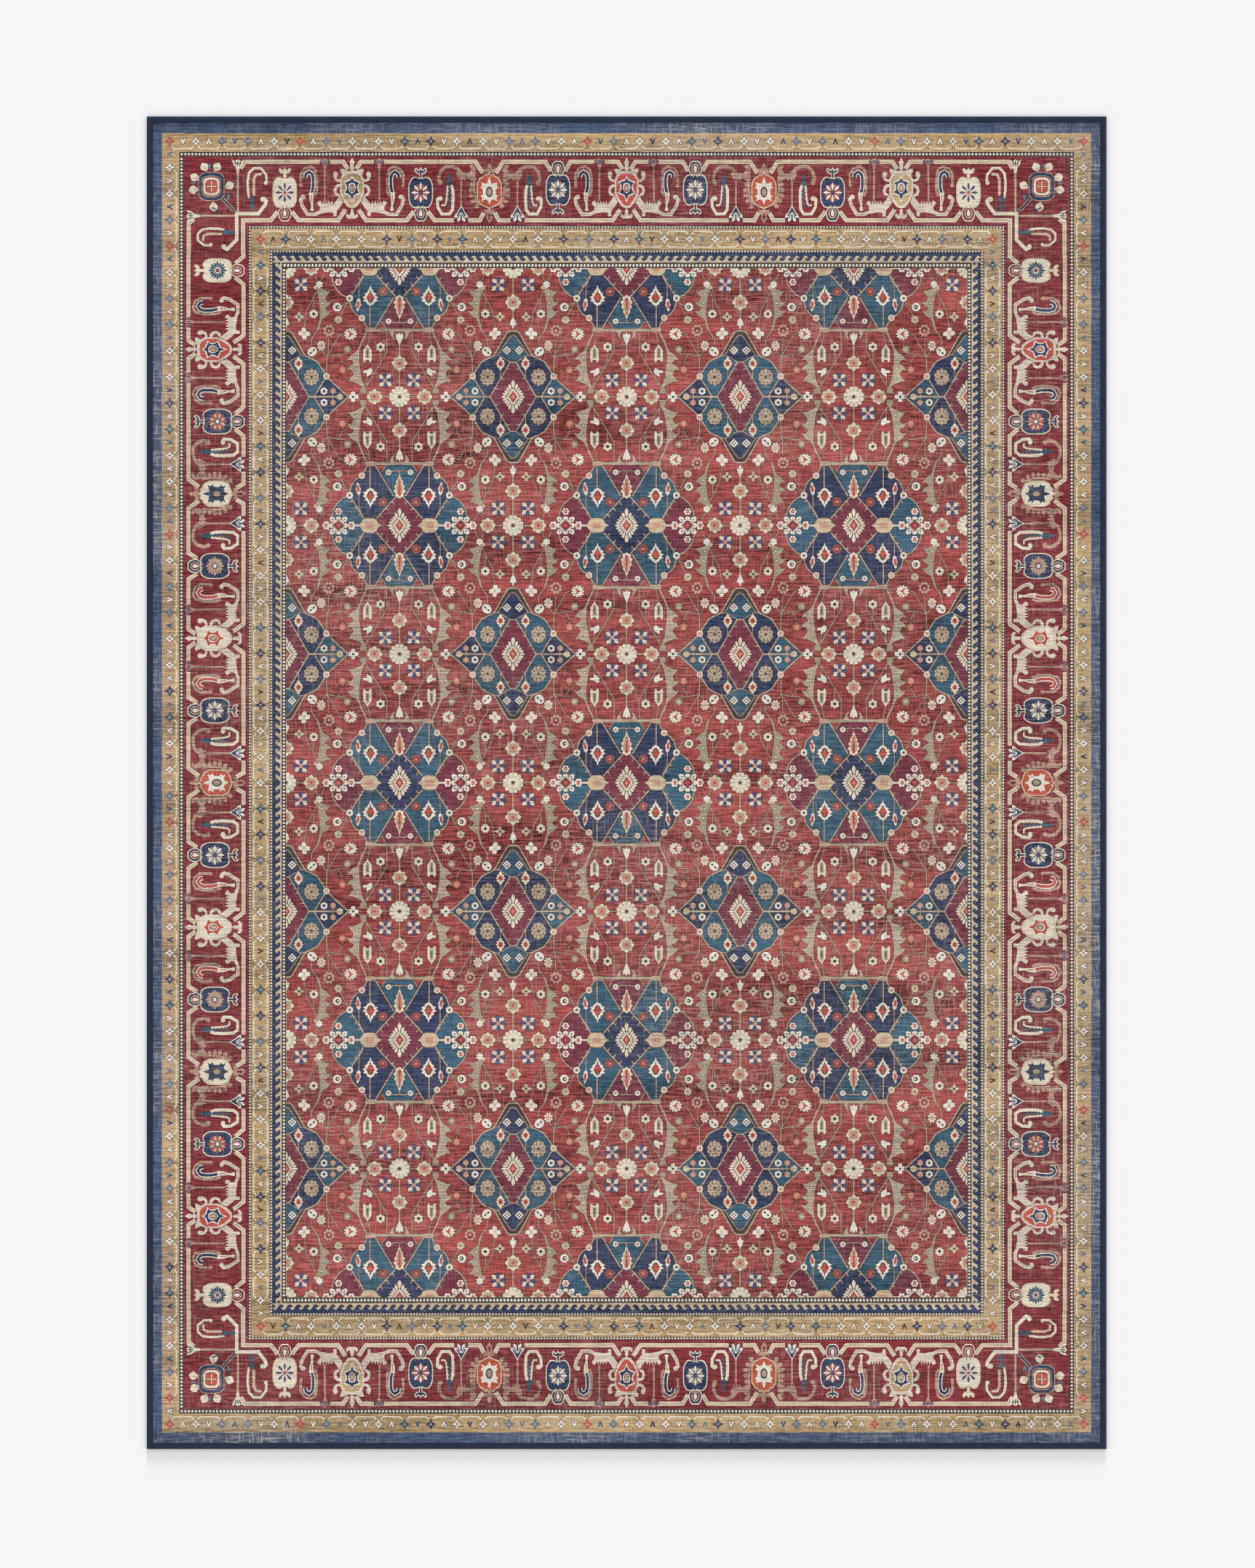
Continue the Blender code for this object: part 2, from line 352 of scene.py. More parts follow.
def drawFieldFlowers(sheet):
    stem = quarter["stem"]
    node = (114.9, 140.7)
    # sprays out of the medallion's side
    layLines(sheet, "camel", stem,
        [(80.3, 50.5), (94.3, 76.0), (97.0, 80)],
        [(84.5, 55.5), (92.5, 60.8), (97, 61.9)])
    layBloom(sheet, (97, 82), ("sand", 6.6, 8, 0.25), ("olive", 2.6, 6))
    layScallop(sheet, "white", (98.9, 61.9), 7.0, 8, 0.08)
    layDisc(sheet, "umber", (98.3, 61.9), 3.6, 8)
    layDisc(sheet, "cream", (97.4, 61.9), 1.7, 6)
    # sprays out of the knot between medallion and diamond
    layLine(sheet, "camel", [(116.0, 170), (115.2, 141)], stem + 0.4)
    layLines(sheet, "camel", stem,
        [node, (95.0, 105.6), (90, 105.0)],
        [node, (113.3, 134), (112.6, 110)],
        [node, (121.5, 133.5), (124.4, 128)],
        [node, (98.0, 136.8), (86.6, 136.4), (84.0, 132)],
        [(98.0, 136.8), (92.0, 146), (90.6, 152)])
    layScallop(sheet, "cream", (77.6, 104.6), 10.6, 11, 0.26, 0.92)
    layDisc(sheet, "white", (77.0, 104.6), 6.6, 9, 0.8)
    for turn in (50, 90, 130):
        layLeaf(sheet, "coral", (72.5, 104.6) if turn == 90 else (75.5, 104.6), 9.0, 3.0, turn=-turn)
    layScallop(sheet, "blush", (112.0, 99.4), 9.4, 8, 0.25, 1.08)
    layScallop(sheet, "wine", (112.0, 98.6), 5.6, 7, 0.2)
    layDisc(sheet, "blush", (112.0, 99.6), 2.6, 6)
    layScallop(sheet, "cream", (124.2, 123.2), 7.0, 8, 0.3, 1.2)
    layPetals(sheet, "coral", (124.2, 123.2), 8, 2.0, 4.9, 1.7)
    layDisc(sheet, "olive", (124.2, 123.2), 1.8, 6)
    layBloom(sheet, (82.6, 128.8), ("olive", 6.3, 7, 0.28), ("sand", 3.0, 6))
    layScallop(sheet, "coral", (90.4, 160.5), 7.2, 7, 0.16, 1.1, 20)
    layDisc(sheet, "blush", (90.6, 161.8), 4.3, 8, 1.1)
    lay(sheet, "umber", [(85.2, 156.5), (96.0, 156.5), (92.6, 150.6), (88.8, 150.6)])
    layDisc(sheet, "coral", (90.6, 155.0), 2.4, 6)
    # the long comb leaf that runs down to the star
    layLine(sheet, "camel", [(139.2, 123), (140.0, 114.2), (136.0, 107), (128.2, 96.5), (123.9, 80.3),
        (123.4, 74)], stem + 0.3)
    layDisc(sheet, "white", (138.5, 132.6), 8.3, 10, 0.86, 42)
    layPetals(sheet, "umber", (138.5, 132.6), 2, 0.0, 5.6, 3.0, 42)
    layComb(sheet, "olive", (126.4, 98.6), -1, -1, 0.93)
    # the star knot and its sprays
    layLines(sheet, "camel", stem,
        [(127.2, 26), (129.7, 33.2), (137.8, 49.4), (147.3, 67.0), (148.8, 77.4), (151.6, 95)],
        [(148.5, 76.8), (155, 77.4)],
        [(136.6, 50), (136.2, 68)],
        [(126.5, 24), (119.4, 9)],
        [(128.5, 24), (134.4, 11)])
    layScallop(sheet, "white", (151.4, 103.9), 8.9, 4, 0.40, 1.16, 45)
    layLines(sheet, "blush", 1.1, [(148.3, 99.5), (154.6, 108.5)], [(154.6, 99.5), (148.3, 108.5)])
    layPetals(sheet, "sand", (159.4, 77.4), 4, 0.5, 7.6, 5.2)
    layDiscs(sheet, (159.4, 77.4), ("sand", 4.4, 8), ("umber", 2.0, 6))
    layBloom(sheet, (136.2, 72.8), ("cream", 7.2, 8, 0.24), ("umber", 2.7, 7))
    layDisc(sheet, "sand", (133.9, 31.2), 2.4, 6, 1.4, 30)
    layBloom(sheet, (127.2, 26.1), ("white", 5.8, 6, 0.28), ("cream", 2.4, 6))
    # near the big rosette at the lower right corner
    layWindmill(sheet, (156.4, 26.6), 12.4)
    layLine(sheet, "camel", [(152, 0), (166, 0)], stem + 0.5)
    layBlossom(sheet, (140.0, 0), 12.4)
    layLine(sheet, "camel", [(180.2, 14), (180.2, 43)], stem + 1.2)
    layBlossom(sheet, (180.2, 54.6), 12.6)
    layLine(sheet, "camel", [(180.2, 67), (180.2, 82)], stem + 1.2)
    lay(sheet, "white", [(180.2, 77.5), (176.8, 83.0), (174.6, 91.4), (177.4, 89.8), (180.2, 97.2)])
    layRosette(sheet, (180.2, 0), 16.6)


def drawUpperFlowers(sheet):
    stem = quarter["stem"]
    # from the upper star knot down to the bar
    layLine(sheet, "camel", [(57.5, 194), (53.8, 189.3), (30.2, 149.5), (19.9, 132.6), (20.2, 99)],
        stem + 0.2)
    layLine(sheet, "camel", [(65.6, 131), (52.3, 100.9)], 2.4)
    layLines(sheet, "camel", stem,
        [(50.8, 124), (46.2, 100)],
        [(30.8, 148), (30.4, 130)],
        [(52.0, 186), (51.4, 172)])
    layComb(sheet, "camel", (63.8, 113.2))
    layLines(sheet, "camel", stem, [(57.5, 194.5), (66.5, 202)], [(57.5, 194.5), (49, 201)])
    layScallop(sheet, "olive", (57.5, 194.4), 5.6, 8, 0.25)
    layLeaf(sheet, "white", (44.6, 158.8), 15.4, 10.6, 3, turn=-28)
    layLeaf(sheet, "white", (51.4, 163.6), 7.6, 4.6, turn=-75)
    lay(sheet, "cream", [(50.9, 121.0), (44.4, 130.0), (44.0, 146.4), (46.2, 150.6), (49.0, 145.6),
        (52.8, 145.6), (56.0, 150.2), (57.8, 146.0), (57.4, 130.0)])
    lay(sheet, "olive", [(48.2, 128.0), (47.8, 143.0), (54.0, 143.0), (53.6, 128.0), (50.9, 125.2)])
    layLine(sheet, "umber", [(50.9, 130.5), (50.9, 141.5)], 1.6)
    layBloom(sheet, (30.2, 125.2), ("cream", 7.4, 6, 0.26), ("umber", 2.8, 7))
    layLine(sheet, "camel", [(0, 121), (0, 140)], stem + 1.2)
    lay(sheet, "white", [(0, 122.6), (2.6, 117.4), (5.8, 109.0), (5.2, 103.4), (2.6, 105.8), (0, 102.0)])
    layLine(sheet, "camel", [(0, 162), (0, 190)], stem + 0.9)
    layBlossom(sheet, (0, 151.0), 12.2)
    layWindmill(sheet, (22.8, 178.3), 12.4)
    layLine(sheet, "camel", [(14, 204.4), (30, 204.4)], stem + 0.5)
    layBlossom(sheet, (39.6, 204.4), 12.4)
    layLine(sheet, "camel", [(64, 204.4), (84, 204.4)], stem)
    layPetals(sheet, "white", (73.7, 204.4), 4, 0.5, 8.6, 7.6)
    layDiscs(sheet, (73.7, 204.4), ("white", 6.4, 4), ("umber", 2.2, 6))
    layRosette(sheet, (0, 204.4), 16.6)


def drawDiamond(sheet):
    line, stem = quarter["line"], quarter["stem"]
    centre = (quarter["width"], quarter["height"])
    outline = [
        (81.0, 204.4), (104.8, 183.0), (116.0, 171.9), (121.8, 161.5), (130.4, 148.8), (138.6, 144.2),
        (148.1, 140.0), (152.5, 134.8), (161.0, 119.0), (170.4, 102.6), (174.4, 100.0), (180.2, 99.6),
    ]
    band = [(147.0, 140.8), (156.2, 137.6), (166.4, 122.0), (176.4, 107.8), (180.2, 106.8)]
    lay(sheet, "leaf", [*outline, centre])
    lay(sheet, "umber", [*outline[6:], *band[::-1][:-1]])
    lay(sheet, "tip", [*band[1:], (180.2, 149.6), (175.3, 149.6)])
    lay(sheet, "side", [(81.0, 204.4), (104.8, 183.0), (116.0, 171.9), (135.6, 204.4)])
    lay(sheet, "wine", [(143.7, 204.4), (175.3, 149.6), (180.2, 149.6), centre])
    panels = len(sheet)
    layLine(sheet, "camel", [(143.2, 205.4), (175.3, 149.8), (180.2, 149.8)], line)
    layBarbs(sheet, "camel", (147, 198.5), (174.5, 151), 3, 6.2, 1)
    layLines(sheet, "camel", stem, [(175.8, 149.2), (156.2, 137.8)], band)
    layLine(sheet, "camel", [(116.5, 173), (135.2, 203.6)], line)
    layLine(sheet, "camel", outline, line + 0.3)
    layLine(sheet, "camel", [(95, 204.4), (143.7, 204.4)], 2.4)
    # flowers of the leaf panel
    layScallop(sheet, "camel", (139.7, 173.2), 12.0, 10, 0.16, 1.14)
    layPetals(sheet, "umber", (139.7, 173.2), 8, 5.6, 9.4, 1.8, 22.5, 1.1)
    layDiscs(sheet, (139.7, 173.2), ("olive", 4.4, 8), ("umber", 2.2, 6))
    layLine(sheet, "camel", [(160.3, 161), (160.3, 176)], stem)
    layLeaf(sheet, "cream", (160.3, 140.8), 21.6, 15.2, 4, belly=1.05)
    layBloom(sheet, (160.3, 151.6), ("coral", 3.9, 5, 0.15, 1.2), ("umber", 1.4, 5))
    # side tip
    layScallop(sheet, "sand", (94.6, 204.4), 5.4, 6, 0.2)
    layRing(sheet, (119.8, 195.4), 5.7, "white", "slate", "umber")
    layScallop(sheet, "blush", (105.4, 195.0), 4.8, 6, 0.25)
    layLine(sheet, "camel", [(105.4, 199), (107, 204)], stem)
    # checker in the tip panel
    layDisc(sheet, "white", (170.3, 130.6), 7.0, 4)
    for dx, dy in ((0, 2.7), (0, -2.7), (2.7, 0), (-2.7, 0)):
        layDisc(sheet, "umber", (170.3 + dx, 130.6 + dy), 1.7, 4)
    layFishbone(sheet, centre, 18.6, 27.0)
    layRing(sheet, (116.0, 171.9), 5.3, "cream", "coral", "white")
    contour(sheet, panels, quarter["contour"])


def drawQuarter():
    width, height = quarter["width"], quarter["height"]
    sheet = []
    lay(sheet, "madder", [(0, 0), (width, 0), (width, height), (0, height)])
    drawFieldFlowers(sheet)
    drawUpperFlowers(sheet)
    contour(sheet, 1, quarter["contour"])
    drawMedallion(sheet)
    drawCrossFlower(sheet)
    drawDiamond(sheet)
    return sheet


def asMesh(name, piece):
    mesh = bpy.data.meshes.new(name)
    piece.to_mesh(mesh)
    piece.free()
    return mesh


def addObject(name, data):
    made = bpy.data.objects.new(name, data)
    bpy.context.scene.collection.objects.link(made)
    return made


# Cuts overlaid shapes along every edge, so that each face of the cloth carries one dye.
def cutTile(name, sheet):
    allNames = dyeNames + swapNames
    corners, shapes = [], []
    for _, points in sheet:
        shapes.append(list(range(len(corners), len(corners) + len(points))))
        corners.extend(points)
    places, _, faces, _, _, owners = delaunay_2d_cdt(corners, [], shapes, 1, 1e-4)
    tile = bmesh.new()
    verts = [tile.verts.new((p.x, p.y, 0)) for p in places]
    for face, owner in zip(faces, owners):
        if 0 in owner and sheet[max(owner)][0] != "ground":
            tile.faces.new([verts[k] for k in face]).material_index = allNames.index(sheet[max(owner)][0])
    bmesh.ops.delete(tile, geom=[v for v in tile.verts if not v.link_faces], context="VERTS")
    bmesh.ops.dissolve_limit(tile, angle_limit=0.02, use_dissolve_boundaries=False, verts=tile.verts,
        edges=tile.edges, delimit={"MATERIAL"})
    bmesh.ops.triangulate(tile, faces=tile.faces)
    mesh = asMesh(name, tile)
    print(name, len(mesh.polygons), "faces")
    return mesh


# Sets a copy of a tile into a piece, with its own dyes where the pattern swaps them.
def stamp(piece, tile, matrix, ways=None):
    firstVert, firstFace = len(piece.verts), len(piece.faces)
    piece.from_mesh(tile)
    piece.verts.ensure_lookup_table()
    piece.faces.ensure_lookup_table()
    bmesh.ops.transform(piece, matrix=matrix, verts=piece.verts[firstVert:])
    if ways:
        swaps = {len(dyeNames) + swapNames.index(k): dyeNames.index(v) for k, v in ways.items()}
        for face in piece.faces[firstFace:]:
            face.material_index = swaps.get(face.material_index, face.material_index)


def planar(a, b, c, d, x, y):
    return Matrix(((a, b, 0, x), (c, d, 0, y), (0, 0, 1, 0), (0, 0, 0, 1)))


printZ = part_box("face_cloth")[1].z
printPieces = []


# The panel's own map, folded into stacked lengths so that a long strip keeps its detail.
def foldedMap(piece):
    xs = [v.co.x for v in piece.verts]
    ys = [v.co.y for v in piece.verts]
    low, size = (min(xs), min(ys)), (max(xs) - min(xs), max(ys) - min(ys))
    run = 0 if size[0] > size[1] else 1
    folds = max(1, round(math.sqrt(size[run] / size[1 - run])))
    length = size[run] / folds
    axis = Vector((1, 0, 0)) if run == 0 else Vector((0, 1, 0))
    for k in range(1, folds):
        cut = axis * (low[run] + k * length)
        geometry = piece.verts[:] + piece.edges[:] + piece.faces[:]
        bmesh.ops.bisect_plane(piece, geom=geometry, dist=0.001, plane_co=cut, plane_no=axis)
    bmesh.ops.triangulate(piece, faces=[f for f in piece.faces if len(f.verts) > 3])
    layer = piece.loops.layers.uv.new("OFBake")
    for face in piece.faces:
        fold = min(int((face.calc_center_median()[run] - low[run]) / length), folds - 1)
        for loop in face.loops:
            along = (loop.vert.co[run] - low[run]) / length - fold
            across = (loop.vert.co[1 - run] - low[1 - run]) / size[1 - run]
            loop[layer].uv = (0.004 + 0.992 * along, (fold + 0.01 + 0.98 * across) / folds)


def finishPrint(name, piece):
    bmesh.ops.remove_doubles(piece, verts=piece.verts, dist=0.01)
    foldedMap(piece)
    bmesh.ops.reverse_faces(piece, faces=[f for f in piece.faces if f.normal.z < 0])
    bmesh.ops.scale(piece, vec=(mm, mm, mm), verts=piece.verts)
    bmesh.ops.translate(piece, vec=(0, 0, printZ), verts=piece.verts)
    used = sorted({f.material_index for f in piece.faces})
    for face in piece.faces:
        face.material_index = used.index(face.material_index)
    mesh = asMesh(name, piece)
    for index in used:
        mesh.materials.append(dyeMaterials[dyeNames[index]])
    printPieces.append(addObject(name, mesh))
    print(name, len(mesh.polygons), "triangles")


# Materials
def linear(colour):
    shares = [c / 255 for c in colour]
    return [(c / 12.92 if c <= 0.04045 else ((c + 0.055) / 1.055) ** 2.4) for c in shares] + [1.0]


def addMath(tree, operation, a, b):
    node = tree.nodes.new("ShaderNodeMath")
    node.operation = operation
    for socket, value in zip(node.inputs, (a, b)):
        if isinstance(value, (int, float)):
            socket.default_value = value
        else:
            tree.links.new(value, socket)
    return node.outputs[0]


def addNoise(tree, coords, stretch, detail=3.0, rough=0.55):
    mapping = tree.nodes.new("ShaderNodeMapping")
    mapping.inputs["Scale"].default_value = stretch
    tree.links.new(coords, mapping.inputs["Vector"])
    cloud = tree.nodes.new("ShaderNodeTexNoise")
    cloud.inputs["Scale"].default_value = 1.0
    cloud.inputs["Detail"].default_value = detail
    cloud.inputs["Roughness"].default_value = rough
    tree.links.new(mapping.outputs[0], cloud.inputs["Vector"])
    return cloud.outputs["Fac"]


def addRange(tree, value, low, high, newLow=0.0, newHigh=1.0):
    node = tree.nodes.new("ShaderNodeMapRange")
    tree.links.new(value, node.inputs["Value"])
    for name, number in (("From Min", low), ("From Max", high), ("To Min", newLow), ("To Max", newHigh)):
        node.inputs[name].default_value = number
    return node.outputs[0]


# A colour made lighter or darker by a share.
def addShade(tree, colour, share):
    shade = tree.nodes.new("ShaderNodeVectorMath")
    shade.operation = "SCALE"
    if isinstance(colour, list):
        shade.inputs[0].default_value = colour[:3]
    else:
        tree.links.new(colour, shade.inputs[0])
    tree.links.new(share, shade.inputs["Scale"])
    return shade.outputs[0]


def newGroup(name, inputs, outputs):
    group = bpy.data.node_groups.new(name, "ShaderNodeTree")
    for direction, sockets in (("INPUT", inputs), ("OUTPUT", outputs)):
        for socketName, kind in sockets:
            group.interface.new_socket(name=socketName, in_out=direction, socket_type=kind)
    return group, group.nodes.new("NodeGroupInput"), group.nodes.new("NodeGroupOutput")


bareYarn = (178, 170, 162)


# Washed, printed weave: slubs across and along, darker and paler bands, and rubbed patches.
def washedWeaveGroup():
    number, colour = "NodeSocketFloat", "NodeSocketColor"
    inputs = [("Dye", colour), ("Slub", number), ("Band", number), ("Fade", number)]
    outputs = [("Colour", colour), ("Height", number)]
    group, given, made = newGroup("washedWeave", inputs, outputs)
    coords = group.nodes.new("ShaderNodeTexCoord").outputs["Object"]

    def times(first, second):
        return addMath(group, "MULTIPLY", first, second)

    def plus(first, second):
        return addMath(group, "ADD", first, second)

    def ribs(direction, scale, distortion):
        ripple = group.nodes.new("ShaderNodeTexWave")
        ripple.bands_direction = direction
        ripple.inputs["Scale"].default_value = scale
        ripple.inputs["Distortion"].default_value = distortion
        ripple.inputs["Detail"].default_value = 1.0
        ripple.inputs["Detail Scale"].default_value = 0.6
        group.links.new(coords, ripple.inputs["Vector"])
        return ripple.outputs["Fac"]

    across = addNoise(group, coords, (38, 330, 1), 2.0)
    along = addNoise(group, coords, (330, 38, 1), 2.0)
    patches = addNoise(group, coords, (5.5, 5.5, 1), 3.0)
    areas = addNoise(group, coords, (1.9, 1.5, 1), 2.0)
    crossing = addRange(group, addNoise(group, coords, (14, 21, 1), 2.0), 0.40, 0.62)
    streaks = addRange(group, addNoise(group, coords, (1.6, 15, 1), 2.5), 0.36, 0.64, -0.5, 0.5)
    # thick and thin yarns, and the coarser ribs they gather into
    acrossPart = addRange(group, across, 0.36, 0.64, -0.5, 0.5)
    alongShare = addRange(group, crossing, 0, 1, 0.25, 1.0)
    alongPart = times(addRange(group, along, 0.36, 0.64, -0.26, 0.26), alongShare)
    grain = addRange(group, addNoise(group, coords, (480, 560, 1), 1.0), 0.32, 0.68, -0.34, 0.34)
    weftShare = addRange(group, across, 0.35, 0.6, 0.3, 1.0)
    weftPart = times(addRange(group, ribs("Y", 96.0, 1.4), 0, 1, -0.42, 0.42), weftShare)
    warpPart = times(addRange(group, ribs("X", 91.0, 1.2), 0, 1, -0.22, 0.22), crossing)
    threads = plus(plus(plus(acrossPart, alongPart), plus(weftPart, warpPart)), grain)
    light = plus(plus(times(threads, given.outputs["Slub"]), times(streaks, given.outputs["Band"])), 1.0)
    shaded = addShade(group, given.outputs["Dye"], light)
    # rubbed patches show the pale yarn through the dye, thread by thread
    bareAcross = addRange(group, across, 0.52, 0.66)
    bareAlong = addRange(group, along, 0.54, 0.68)
    bare = addMath(group, "MAXIMUM", bareAcross, bareAlong)
    wornAreas = addRange(group, areas, 0.50, 0.66, 0, 0.5)
    worn = plus(addRange(group, patches, 0.40, 0.68, 0.06, 0.8), wornAreas)
    rubbed = times(worn, plus(times(bare, 0.85), 0.12))
    mixing = group.nodes.new("ShaderNodeMix")
    mixing.data_type = "RGBA"
    mixing.inputs["B"].default_value = linear(bareYarn)
    group.links.new(times(rubbed, given.outputs["Fade"]), mixing.inputs["Factor"])
    group.links.new(shaded, mixing.inputs["A"])
    group.links.new(mixing.outputs["Result"], made.inputs["Colour"])
    # interlaced yarns for the bump
    height = plus(times(ribs("X", 210.0, 0.0), ribs("Y", 210.0, 0.0)), times(across, 0.8))
    group.links.new(height, made.inputs["Height"])
    return group


washedWeave = washedWeaveGroup()


def newMaterial(name, roughness):
    material = bpy.data.materials.new(name)
    material.use_nodes = True
    shader = material.node_tree.nodes["Principled BSDF"]
    shader.inputs["Roughness"].default_value = roughness
    shader.inputs["Specular IOR Level"].default_value = 0.08
    return material, material.node_tree, shader


def addBump(tree, shader, height, strength, distance):
    bump = tree.nodes.new("ShaderNodeBump")
    bump.inputs["Strength"].default_value = strength
    bump.inputs["Distance"].default_value = distance
    tree.links.new(height, bump.inputs["Height"])
    tree.links.new(bump.outputs[0], shader.inputs["Normal"])


# How strongly each dye shows its threads, its darker and paler bands, and the wear.
clothFeel = {
    "madder": (0.84, 0.66, 0.40),
    "garnet": (0.76, 0.28, 0.34),
    "wine": (0.60, 0.30, 0.28),
    "navy": (0.70, 0.36, 0.28),
    "teal": (0.60, 0.50, 0.26),
    "denim": (0.60, 0.30, 0.80),
    "gold": (0.60, 0.52, 0.80),
    "chalk": (0.50, 0.26, 0.30),
    "dust": (0.80, 0.40, 0.16),
    "camel": (0.56, 0.24, 0.22),
    "sand": (0.46, 0.20, 0.24),
    "sepia": (0.30, 0.10, 0.16),
    "umber": (0.30, 0.10, 0.16),
}
plainFeel = (0.36, 0.14, 0.26)


def dyedCloth(name):
    material, tree, shader = newMaterial(f"face_{name}", 0.9)
    weave = tree.nodes.new("ShaderNodeGroup")
    weave.node_tree = washedWeave
    weave.inputs["Dye"].default_value = linear(dyes[name])
    for socket, value in zip(("Slub", "Band", "Fade"), clothFeel.get(name, plainFeel)):
        weave.inputs[socket].default_value = value
    tree.links.new(weave.outputs["Colour"], shader.inputs["Base Color"])
    addBump(tree, shader, weave.outputs["Height"], 0.3, 0.0004)
    return material


dyeMaterials = {name: dyedCloth(name) for name in dyes}

# Face cloth: the field
field = {"columns": 3, "rows": 4, "sideBands": 221.1, "endBands": 241.1}


def buildField():
    tile = cutTile("quarterTile", drawQuarter())
    halfWide = (rugHalf[0] - field["sideBands"]) / field["columns"]
    halfTall = (rugHalf[1] - field["endBands"]) / field["rows"]
    scaleX, scaleY = halfWide / quarter["width"], halfTall / quarter["height"]
    for strip in range(2 * field["columns"]):
        piece = bmesh.new()
        medallionX = (2 * (strip // 2) + 1 - field["columns"]) * halfWide
        side = -1 if strip % 2 == 0 else 1
        diamondColumn = (strip + 1) // 2
        for half in range(2 * field["rows"]):
            medallionRow = (half + 1) // 2
            medallionY = (2 * medallionRow - field["rows"]) * halfTall
            up = 1 if half % 2 == 0 else -1
            ways = dict(medallionWays[(strip // 2 + medallionRow + 1) % 2])
            ways.update(diamondWays[(diamondColumn + half // 2) % 2])
            stamp(piece, tile, planar(side * scaleX, 0, 0, up * scaleY, medallionX, medallionY), ways)
        finishPrint(f"field_print_{strip + 1}", piece)


buildField()
print("field built")


# Borders: s runs along a side, t runs inwards from the rug's edge
bands = {
    "end": {
        "blue": (2.5, 26.6),
        "gold": (26.6, 56.4),
        "bead": (56.4, 64.1),
        "main": (64.1, 173.6),
        "innerBead": (173.6, 178.2),
        "innerGold": (178.2, 212.0),
        "lastBead": (212.0, 216.6),
        "wave": (216.6, 232.3),
        "fieldBead": (232.3, 241.1),
    },
    "long": {
        "blue": (2.5, 24.3),
        "gold": (24.3, 51.8),
        "bead": (51.8, 58.7),
        "main": (58.7, 161.7),
        "innerBead": (161.7, 166.0),
        "innerGold": (166.0, 195.5),
        "lastBead": (195.5, 200.0),
        "wave": (200.0, 214.6),
        "fieldBead": (214.6, 221.1),
    },
}


# The end strips run through the corners and the long strips stop against them.
def bandReach(side, band):
    if side == "end":
        return rugHalf[0] - bands["long"][band][0]
    return rugHalf[1] - bands["end"][band][1]


def layBlock(sheet, dye, s0, s1, t0, t1):
    lay(sheet, dye, [(s0, t0), (s1, t0), (s1, t1), (s0, t1)])


def layMirror(sheet, dye, half, at=(0, 0)):
    lay(sheet, dye, [*half, *[(-x, y) for x, y in half[::-1] if x > 0]], at)


def layMirrors(sheet, *halves):
    for dye, half in halves:
        layMirror(sheet, dye, half)


# Pitch of the beads, and their size across an end band and across a long one.
beads = {
    "bead": (5.6, 3.9, 3.9),
    "innerBead": (4.83, 3.0, 3.0),
    "lastBead": (4.83, 3.0, 3.0),
    "fieldBead": (5.55, 4.7, 3.9),
}
beadShare = 0.33  # of the pitch, from a bead's centre to its end


def drawBeads(sheet, side, band):
    t0, t1 = bands[side][band]
    pitch, acrossEnd, acrossLong = beads[band]
    across = acrossEnd if side == "end" else acrossLong
    reach = bandReach(side, band)
    layBlock(sheet, "umber", -reach, reach, t0, t1)
    count = round((2 * reach - (t1 - t0)) / pitch)
    step = (2 * reach - (t1 - t0)) / count
    middle = (t0 + t1) / 2
    for k in range(count + 1):
        s = -reach + (t1 - t0) / 2 + k * step
        layDisc(sheet, "white", (s, middle), beadShare * step, 8, across / (2 * beadShare * step), 22.5)


goldSettings = {
    "pitch": 20.5,
    "sprig": 8.8,
    "chevron": 4.6,
    "vine": 2.1,
    "contour": 0.9,
    "flowers": ["white", "slate", "white", "teal", "white", "coral", "slate", "white", "navy", "white",
        "slate"],
    "chevrons": ["white", "slate", "white", "navy", "white", "teal", "white"],
    "innerFlowers": ["white", "navy", "white", "slate", "white", "navy", "teal"],
    "innerChevrons": ["white", "umber", "white", "slate", "cream"],
}


def layChevron(sheet, dye, at, size, up):
    arm = [(-1.0, 1.0), (-0.42, 1.0), (0, 0.0), (0.42, 1.0), (1.0, 1.0), (0.2, -1.0), (-0.2, -1.0)]
    start = len(sheet)
    lay(sheet, dye, [(0.98 * size * x, up * size * y) for x, y in arm], at)
    if dye in ("white", "cream"):
        contour(sheet, start, goldSettings["contour"], "umber")


def laySprig(sheet, dye, at, radius):
    start = len(sheet)
    if dye == "white":
        star = [(0, 1), (0.17, 0.50), (0.50, 0.17), (1, 0), (0.50, -0.17), (0.17, -0.50)]
        lay(sheet, dye, [(radius * x, radius * y) for x, y in star + [(-x, -y) for x, y in star]], at)
        contour(sheet, start, goldSettings["contour"], "umber")
        layDiscs(sheet, at, ("umber", 0.26 * radius, 4), ("camel", 0.13 * radius, 4))
        return
    for k in range(4):
        petal = [(0, 0), (0.20, 0.42), (0.20, 0.70), (0, 1.0), (-0.20, 0.70), (-0.20, 0.42)]
        lay(sheet, dye, [(radius * x, radius * y) for x, y in petal], at, 90 * k)
        spike = [(0, 0), (0.12, 0.40), (0, 0.72), (-0.12, 0.40)]
        lay(sheet, dye, [(radius * x, radius * y) for x, y in spike], at, 90 * k + 45)
    layDiscs(sheet, at, ("cream", 0.20 * radius, 4), ("umber", 0.10 * radius, 4))


